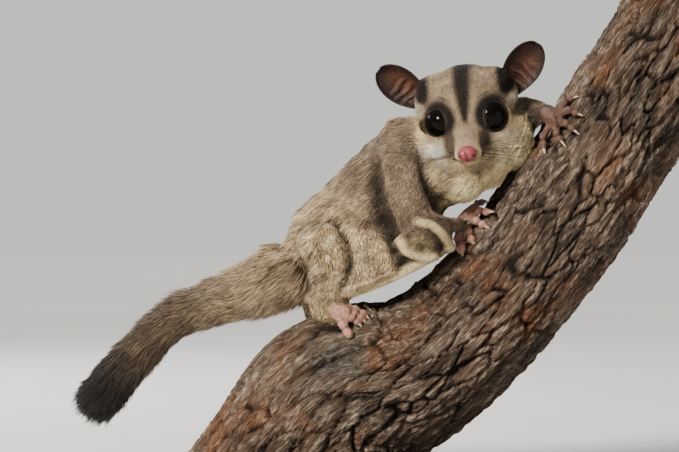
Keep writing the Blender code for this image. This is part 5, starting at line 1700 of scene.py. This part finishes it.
def make_branch():
    """The cut branch with cracked bark plates that run along it."""
    sizes = bpy.context.scene.glider_branch
    step = sizes.grain / MM
    line = smooth_path(BRANCH_AXIS, 900)
    run = np.concatenate([[0.0], np.cumsum(np.hypot(*np.diff(line[:, :2], axis=0).T))])
    rows = int(run[-1] / step)
    along = np.linspace(0.0, run[-1], rows)
    axis = np.stack([np.interp(along, run, line[:, k]) for k in range(3)], 1)
    sides = int(2 * math.pi * BARK_RADIUS / step)
    ways = unit(np.gradient(axis[:, :2], axis=0))
    turn = np.linspace(0, 2 * np.pi, sides, endpoint=False)
    out = np.zeros((rows, sides, 3))
    out[..., 0] = -ways[:, 1:2] * np.cos(turn)
    out[..., 1] = np.sin(turn)
    out[..., 2] = ways[:, 0:1] * np.cos(turn)
    straight = np.zeros((rows, sides, 3))
    straight[..., 0] = BARK_RADIUS * np.cos(turn)
    straight[..., 1] = BARK_RADIUS * np.sin(turn)
    straight[..., 2] = along[:, None]
    spots = straight.reshape(-1, 3).tolist()
    height, wear = np.array([bark_relief(Vector(p), sizes.crack / MM) for p in spots]).T
    centre = np.zeros((rows, 1, 3))
    centre[:, 0, 0], centre[:, 0, 1], centre[:, 0, 2] = axis[:, 0], BRANCH_DEPTH, axis[:, 1]
    places = centre + out * (axis[:, 2:3] + height.reshape(rows, sides))[..., None]
    k = np.arange(rows - 1)[:, None] * sides
    j = np.arange(sides)[None, :]
    n = (j + 1) % sides
    faces = np.stack([k + j, k + n, k + sides + n, k + sides + j], -1).reshape(-1, 4)
    places = places.reshape(-1, 3)
    branch = mesh_object("bark", places, faces)
    values = np.ones((rows * sides, 4), np.float32)
    values[:, 0] = (height - height.min()) / np.ptp(height)
    values[:, 1] = wear
    patch = np.hypot(*((places[:, ::2] - LICHEN_PLACE) / LICHEN_SIZE).T)
    values[:, 2] = fade(patch, 0.55, 1.1) * (places[:, 1] < BRANCH_DEPTH)
    layer = branch.data.color_attributes.new("relief", "FLOAT_COLOR", "POINT")
    layer.data.foreach_set("color", values.ravel())
    grain = branch.data.attributes.new("grain", "FLOAT_VECTOR", "POINT")
    grain.data.foreach_set("vector", (straight * MM).astype(np.float32).ravel())
    outwards(branch)
    branch.data.materials.append(bark_finish(sizes))
    upper, upper_tilt = line[-1, :2] * MM, -math.atan2(ways[-1, 0], ways[-1, 1])
    pith = upper[0] * math.cos(upper_tilt) + upper[1] * math.sin(upper_tilt)
    for name, middle, tilt in (("foot cut", FOOT_PITH, 0.0), ("top cut", pith, upper_tilt)):
        branch.data.materials.append(cut_wood_finish(sizes, name, (-middle, -BRANCH_DEPTH * MM, 0.0), tilt))
    only(branch)
    bpy.ops.object.mode_set(mode="EDIT")
    bpy.ops.mesh.select_all(action="SELECT")
    bpy.ops.mesh.bisect(
        plane_co=(0, 0, BRANCH_FOOT * MM), plane_no=(0, 0, 1), clear_inner=True, use_fill=True
    )
    bpy.ops.mesh.select_all(action="DESELECT")
    bpy.ops.mesh.select_non_manifold(extend=False)
    bpy.ops.mesh.edge_face_add()
    bpy.ops.object.mode_set(mode="OBJECT")
    for polygon in branch.data.polygons:
        polygon.use_smooth = True
        if len(polygon.vertices) > 20:
            polygon.material_index = 1 if polygon.normal.z < 0.0 else 2
            polygon.use_smooth = False
    branch.data.update()
    finish_piece(branch, None, ("perch_branch",))
    return branch


def bark_relief(p, crack_depth):
    """Height in millimetres and wear of the bark at a place on the straightened branch."""
    q = p + noise.noise_vector(p * 0.03) * 5.0 + noise.noise_vector(p * 0.12) * 1.3
    plates, seeds = noise.voronoi(Vector((q.x / 6.2, q.y / 6.2, q.z / 25.0)))
    tone = math.sin(seeds[0].x * 12.9 + seeds[0].y * 78.2 + seeds[0].z * 37.7) * 0.5 + 0.5
    crack = max(0.0, 1.0 - (plates[1] - plates[0]) / 0.13)
    chips, more = noise.voronoi(Vector((q.x / 2.5 + 7.0, q.y / 2.5, q.z / 8.0)))
    chip = max(0.0, 1.0 - (chips[1] - chips[0]) / 0.17)
    lift = math.sin(more[0].x * 5.1 + more[0].z * 9.7 + more[0].y * 3.3)
    # thin layers that end in ragged steps
    level = 3.0 * noise.noise(Vector((q.x / 8.0, q.y / 8.0, q.z / 27.0)))
    level += 1.3 * noise.noise(Vector((q.x / 2.8, q.y / 2.8, q.z / 9.5))) + 0.8 * tone
    floor = math.floor(level)
    layers = floor + min(1.0, (level - floor) * 5.0)
    fibre = 1.0 - 2.0 * abs(noise.noise(Vector((q.x / 1.25, q.y / 1.25, q.z / 15.0))))
    rough = noise.noise(Vector((q.x / 1.5, q.y / 1.5, q.z / 3.0)))
    height = 0.46 * layers + 0.26 * lift + 0.20 * fibre + 0.34 * rough + 0.8 * noise.noise(p * 0.03)
    height -= crack_depth * crack * crack * (3 - 2 * crack) + 0.75 * chip * chip
    wear = min(1.0, max(0.0, 0.42 + 0.20 * layers + 0.75 * (tone - 0.5)))
    return min(height, BARK_TOP), wear


# The stand and the stage


def dress_stand():
    """The base's satin paint and the rods' brushed steel, on the solids themselves."""
    sizes = bpy.context.scene.glider_stand
    paint, steel = paint_finish(tuple(sizes.paint)), steel_finish(tuple(sizes.steel))
    for name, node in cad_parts.items():
        if name.startswith("stand_"):
            node.data.materials.clear()
            node.data.materials.append(paint if name == "stand_base" else steel)


def make_stage():
    """A pale floor, soft lights and the camera at the photograph's viewing angle."""
    sizes = bpy.context.scene.glider_stage
    deselect_all()
    bpy.ops.mesh.primitive_plane_add(size=14.0, location=(0.0, 0.0, 0.0))
    floor = bpy.context.object
    floor.name = "floor"
    floor.data.materials.append(floor_finish(tuple(sizes.floor)))
    world = bpy.context.scene.world or bpy.data.worlds.new("studio")
    bpy.context.scene.world = world
    world.use_nodes = True
    tree = world.node_tree
    soft_light = tree.nodes["Background"]
    soft_light.inputs["Color"].default_value = (0.86, 0.90, 0.96, 1.0)
    soft_light.inputs["Strength"].default_value = 0.24
    backdrop = tree.nodes.new("ShaderNodeBackground")
    backdrop.inputs["Color"].default_value = (0.80, 0.79, 0.77, 1.0)
    backdrop.inputs["Strength"].default_value = 1.0
    seen = tree.nodes.new("ShaderNodeLightPath")
    either = tree.nodes.new("ShaderNodeMixShader")
    tree.links.new(seen.outputs["Is Camera Ray"], either.inputs["Fac"])
    tree.links.new(soft_light.outputs["Background"], either.inputs[1])
    tree.links.new(backdrop.outputs["Background"], either.inputs[2])
    tree.links.new(either.outputs["Shader"], tree.nodes["World Output"].inputs["Surface"])
    aim = Vector((0.0, 0.0, 0.13))
    for name, kind, place, power, size, tone in (
        ("key", "SUN", (-0.66, -0.78, 0.68), sizes.key, math.radians(14.0), (1.0, 0.955, 0.89)),
        ("fill", "AREA", (0.75, -0.65, 0.30), 0.8, 0.60, (1.0, 0.97, 0.93)),
        ("rim", "AREA", (-0.55, 0.60, 0.60), 7.0, 0.40, (1.0, 0.98, 0.95)),
    ):
        deselect_all()
        bpy.ops.object.light_add(type=kind, location=place)
        lamp = bpy.context.object
        lamp.name = "light_" + name
        lamp.data.energy = power
        lamp.data.color = tone
        if kind == "SUN":
            lamp.data.angle = size
        else:
            lamp.data.size = size
        lamp.rotation_euler = (aim - Vector(place)).to_track_quat("-Z", "Y").to_euler()
    deselect_all()
    bpy.ops.object.camera_add(location=CAMERA_PLACE, rotation=(math.radians(90), 0.0, 0.0))
    camera = bpy.context.object
    camera.data.lens = sizes.lens
    camera.data.sensor_width = 36.0
    camera.data.clip_start = 0.01
    bpy.context.scene.camera = camera


# The operators and the panel


class GLIDER_OT_skin(bpy.types.Operator):
    """Merge all the flesh into one skin that carries the coat's markings"""

    bl_idname = "glider.skin"
    bl_label = "Skin"

    def execute(self, context):
        make_skin()
        return {"FINISHED"}


class GLIDER_OT_coat(bpy.types.Operator):
    """Grow tufts of fur that follow the lie of the coat"""

    bl_idname = "glider.coat"
    bl_label = "Coat"

    def execute(self, context):
        make_coat()
        return {"FINISHED"}


class GLIDER_OT_eyes(bpy.types.Operator):
    """Make the glossy eyeballs and their lids"""

    bl_idname = "glider.eyes"
    bl_label = "Eyes"

    def execute(self, context):
        make_eyes()
        return {"FINISHED"}


class GLIDER_OT_nose(bpy.types.Operator):
    """Make the bare nose with its nostrils"""

    bl_idname = "glider.nose"
    bl_label = "Nose"

    def execute(self, context):
        make_nose()
        return {"FINISHED"}


class GLIDER_OT_ears(bpy.types.Operator):
    """Make the thin folded ears"""

    bl_idname = "glider.ears"
    bl_label = "Ears"

    def execute(self, context):
        make_ears()
        return {"FINISHED"}


class GLIDER_OT_whiskers(bpy.types.Operator):
    """Make the whiskers of the muzzle and the brows"""

    bl_idname = "glider.whiskers"
    bl_label = "Whiskers"

    def execute(self, context):
        make_whiskers()
        return {"FINISHED"}


class GLIDER_OT_claws(bpy.types.Operator):
    """Make the curved claws of the hands and feet"""

    bl_idname = "glider.claws"
    bl_label = "Claws"

    def execute(self, context):
        make_claws()
        return {"FINISHED"}


class GLIDER_OT_branch(bpy.types.Operator):
    """Make the cut branch with its cracked bark"""

    bl_idname = "glider.branch"
    bl_label = "Branch"

    def execute(self, context):
        make_branch()
        return {"FINISHED"}


class GLIDER_OT_stand(bpy.types.Operator):
    """Give the base and the rods their finishes"""

    bl_idname = "glider.stand"
    bl_label = "Stand"

    def execute(self, context):
        dress_stand()
        return {"FINISHED"}


class GLIDER_OT_stage(bpy.types.Operator):
    """Set up the floor, the lights and the camera"""

    bl_idname = "glider.stage"
    bl_label = "Stage"

    def execute(self, context):
        make_stage()
        return {"FINISHED"}


STEPS = (
    GLIDER_OT_skin,
    GLIDER_OT_coat,
    GLIDER_OT_eyes,
    GLIDER_OT_nose,
    GLIDER_OT_ears,
    GLIDER_OT_whiskers,
    GLIDER_OT_claws,
    GLIDER_OT_branch,
    GLIDER_OT_stand,
    GLIDER_OT_stage,
)


class GLIDER_PT_panel(bpy.types.Panel):
    """The sizes and colours, and a button for each step"""

    bl_idname = "GLIDER_PT_panel"
    bl_label = "Sugar glider"
    bl_space_type = "VIEW_3D"
    bl_region_type = "UI"
    bl_category = "Glider"

    def draw(self, context):
        for name, group in SIZE_GROUPS:
            box = self.layout.box()
            for key in group.__annotations__:
                box.prop(getattr(context.scene, name), key)
        for step in STEPS:
            self.layout.operator(step.bl_idname)


def register():
    for name, group in SIZE_GROUPS:
        bpy.utils.register_class(group)
        setattr(bpy.types.Scene, name, bpy.props.PointerProperty(type=group))
    for step in STEPS:
        bpy.utils.register_class(step)
    bpy.utils.register_class(GLIDER_PT_panel)


def unregister():
    bpy.utils.unregister_class(GLIDER_PT_panel)
    for step in reversed(STEPS):
        bpy.utils.unregister_class(step)
    for name, group in reversed(SIZE_GROUPS):
        delattr(bpy.types.Scene, name)
        bpy.utils.unregister_class(group)


def main():
    register()
    bpy.ops.glider.skin()
    bpy.ops.glider.coat()
    bpy.ops.glider.eyes()
    bpy.ops.glider.nose()
    bpy.ops.glider.ears()
    bpy.ops.glider.whiskers()
    bpy.ops.glider.claws()
    bpy.ops.glider.branch()
    bpy.ops.glider.stand()
    bpy.ops.glider.stage()


if __name__ == "__main__":
    main()
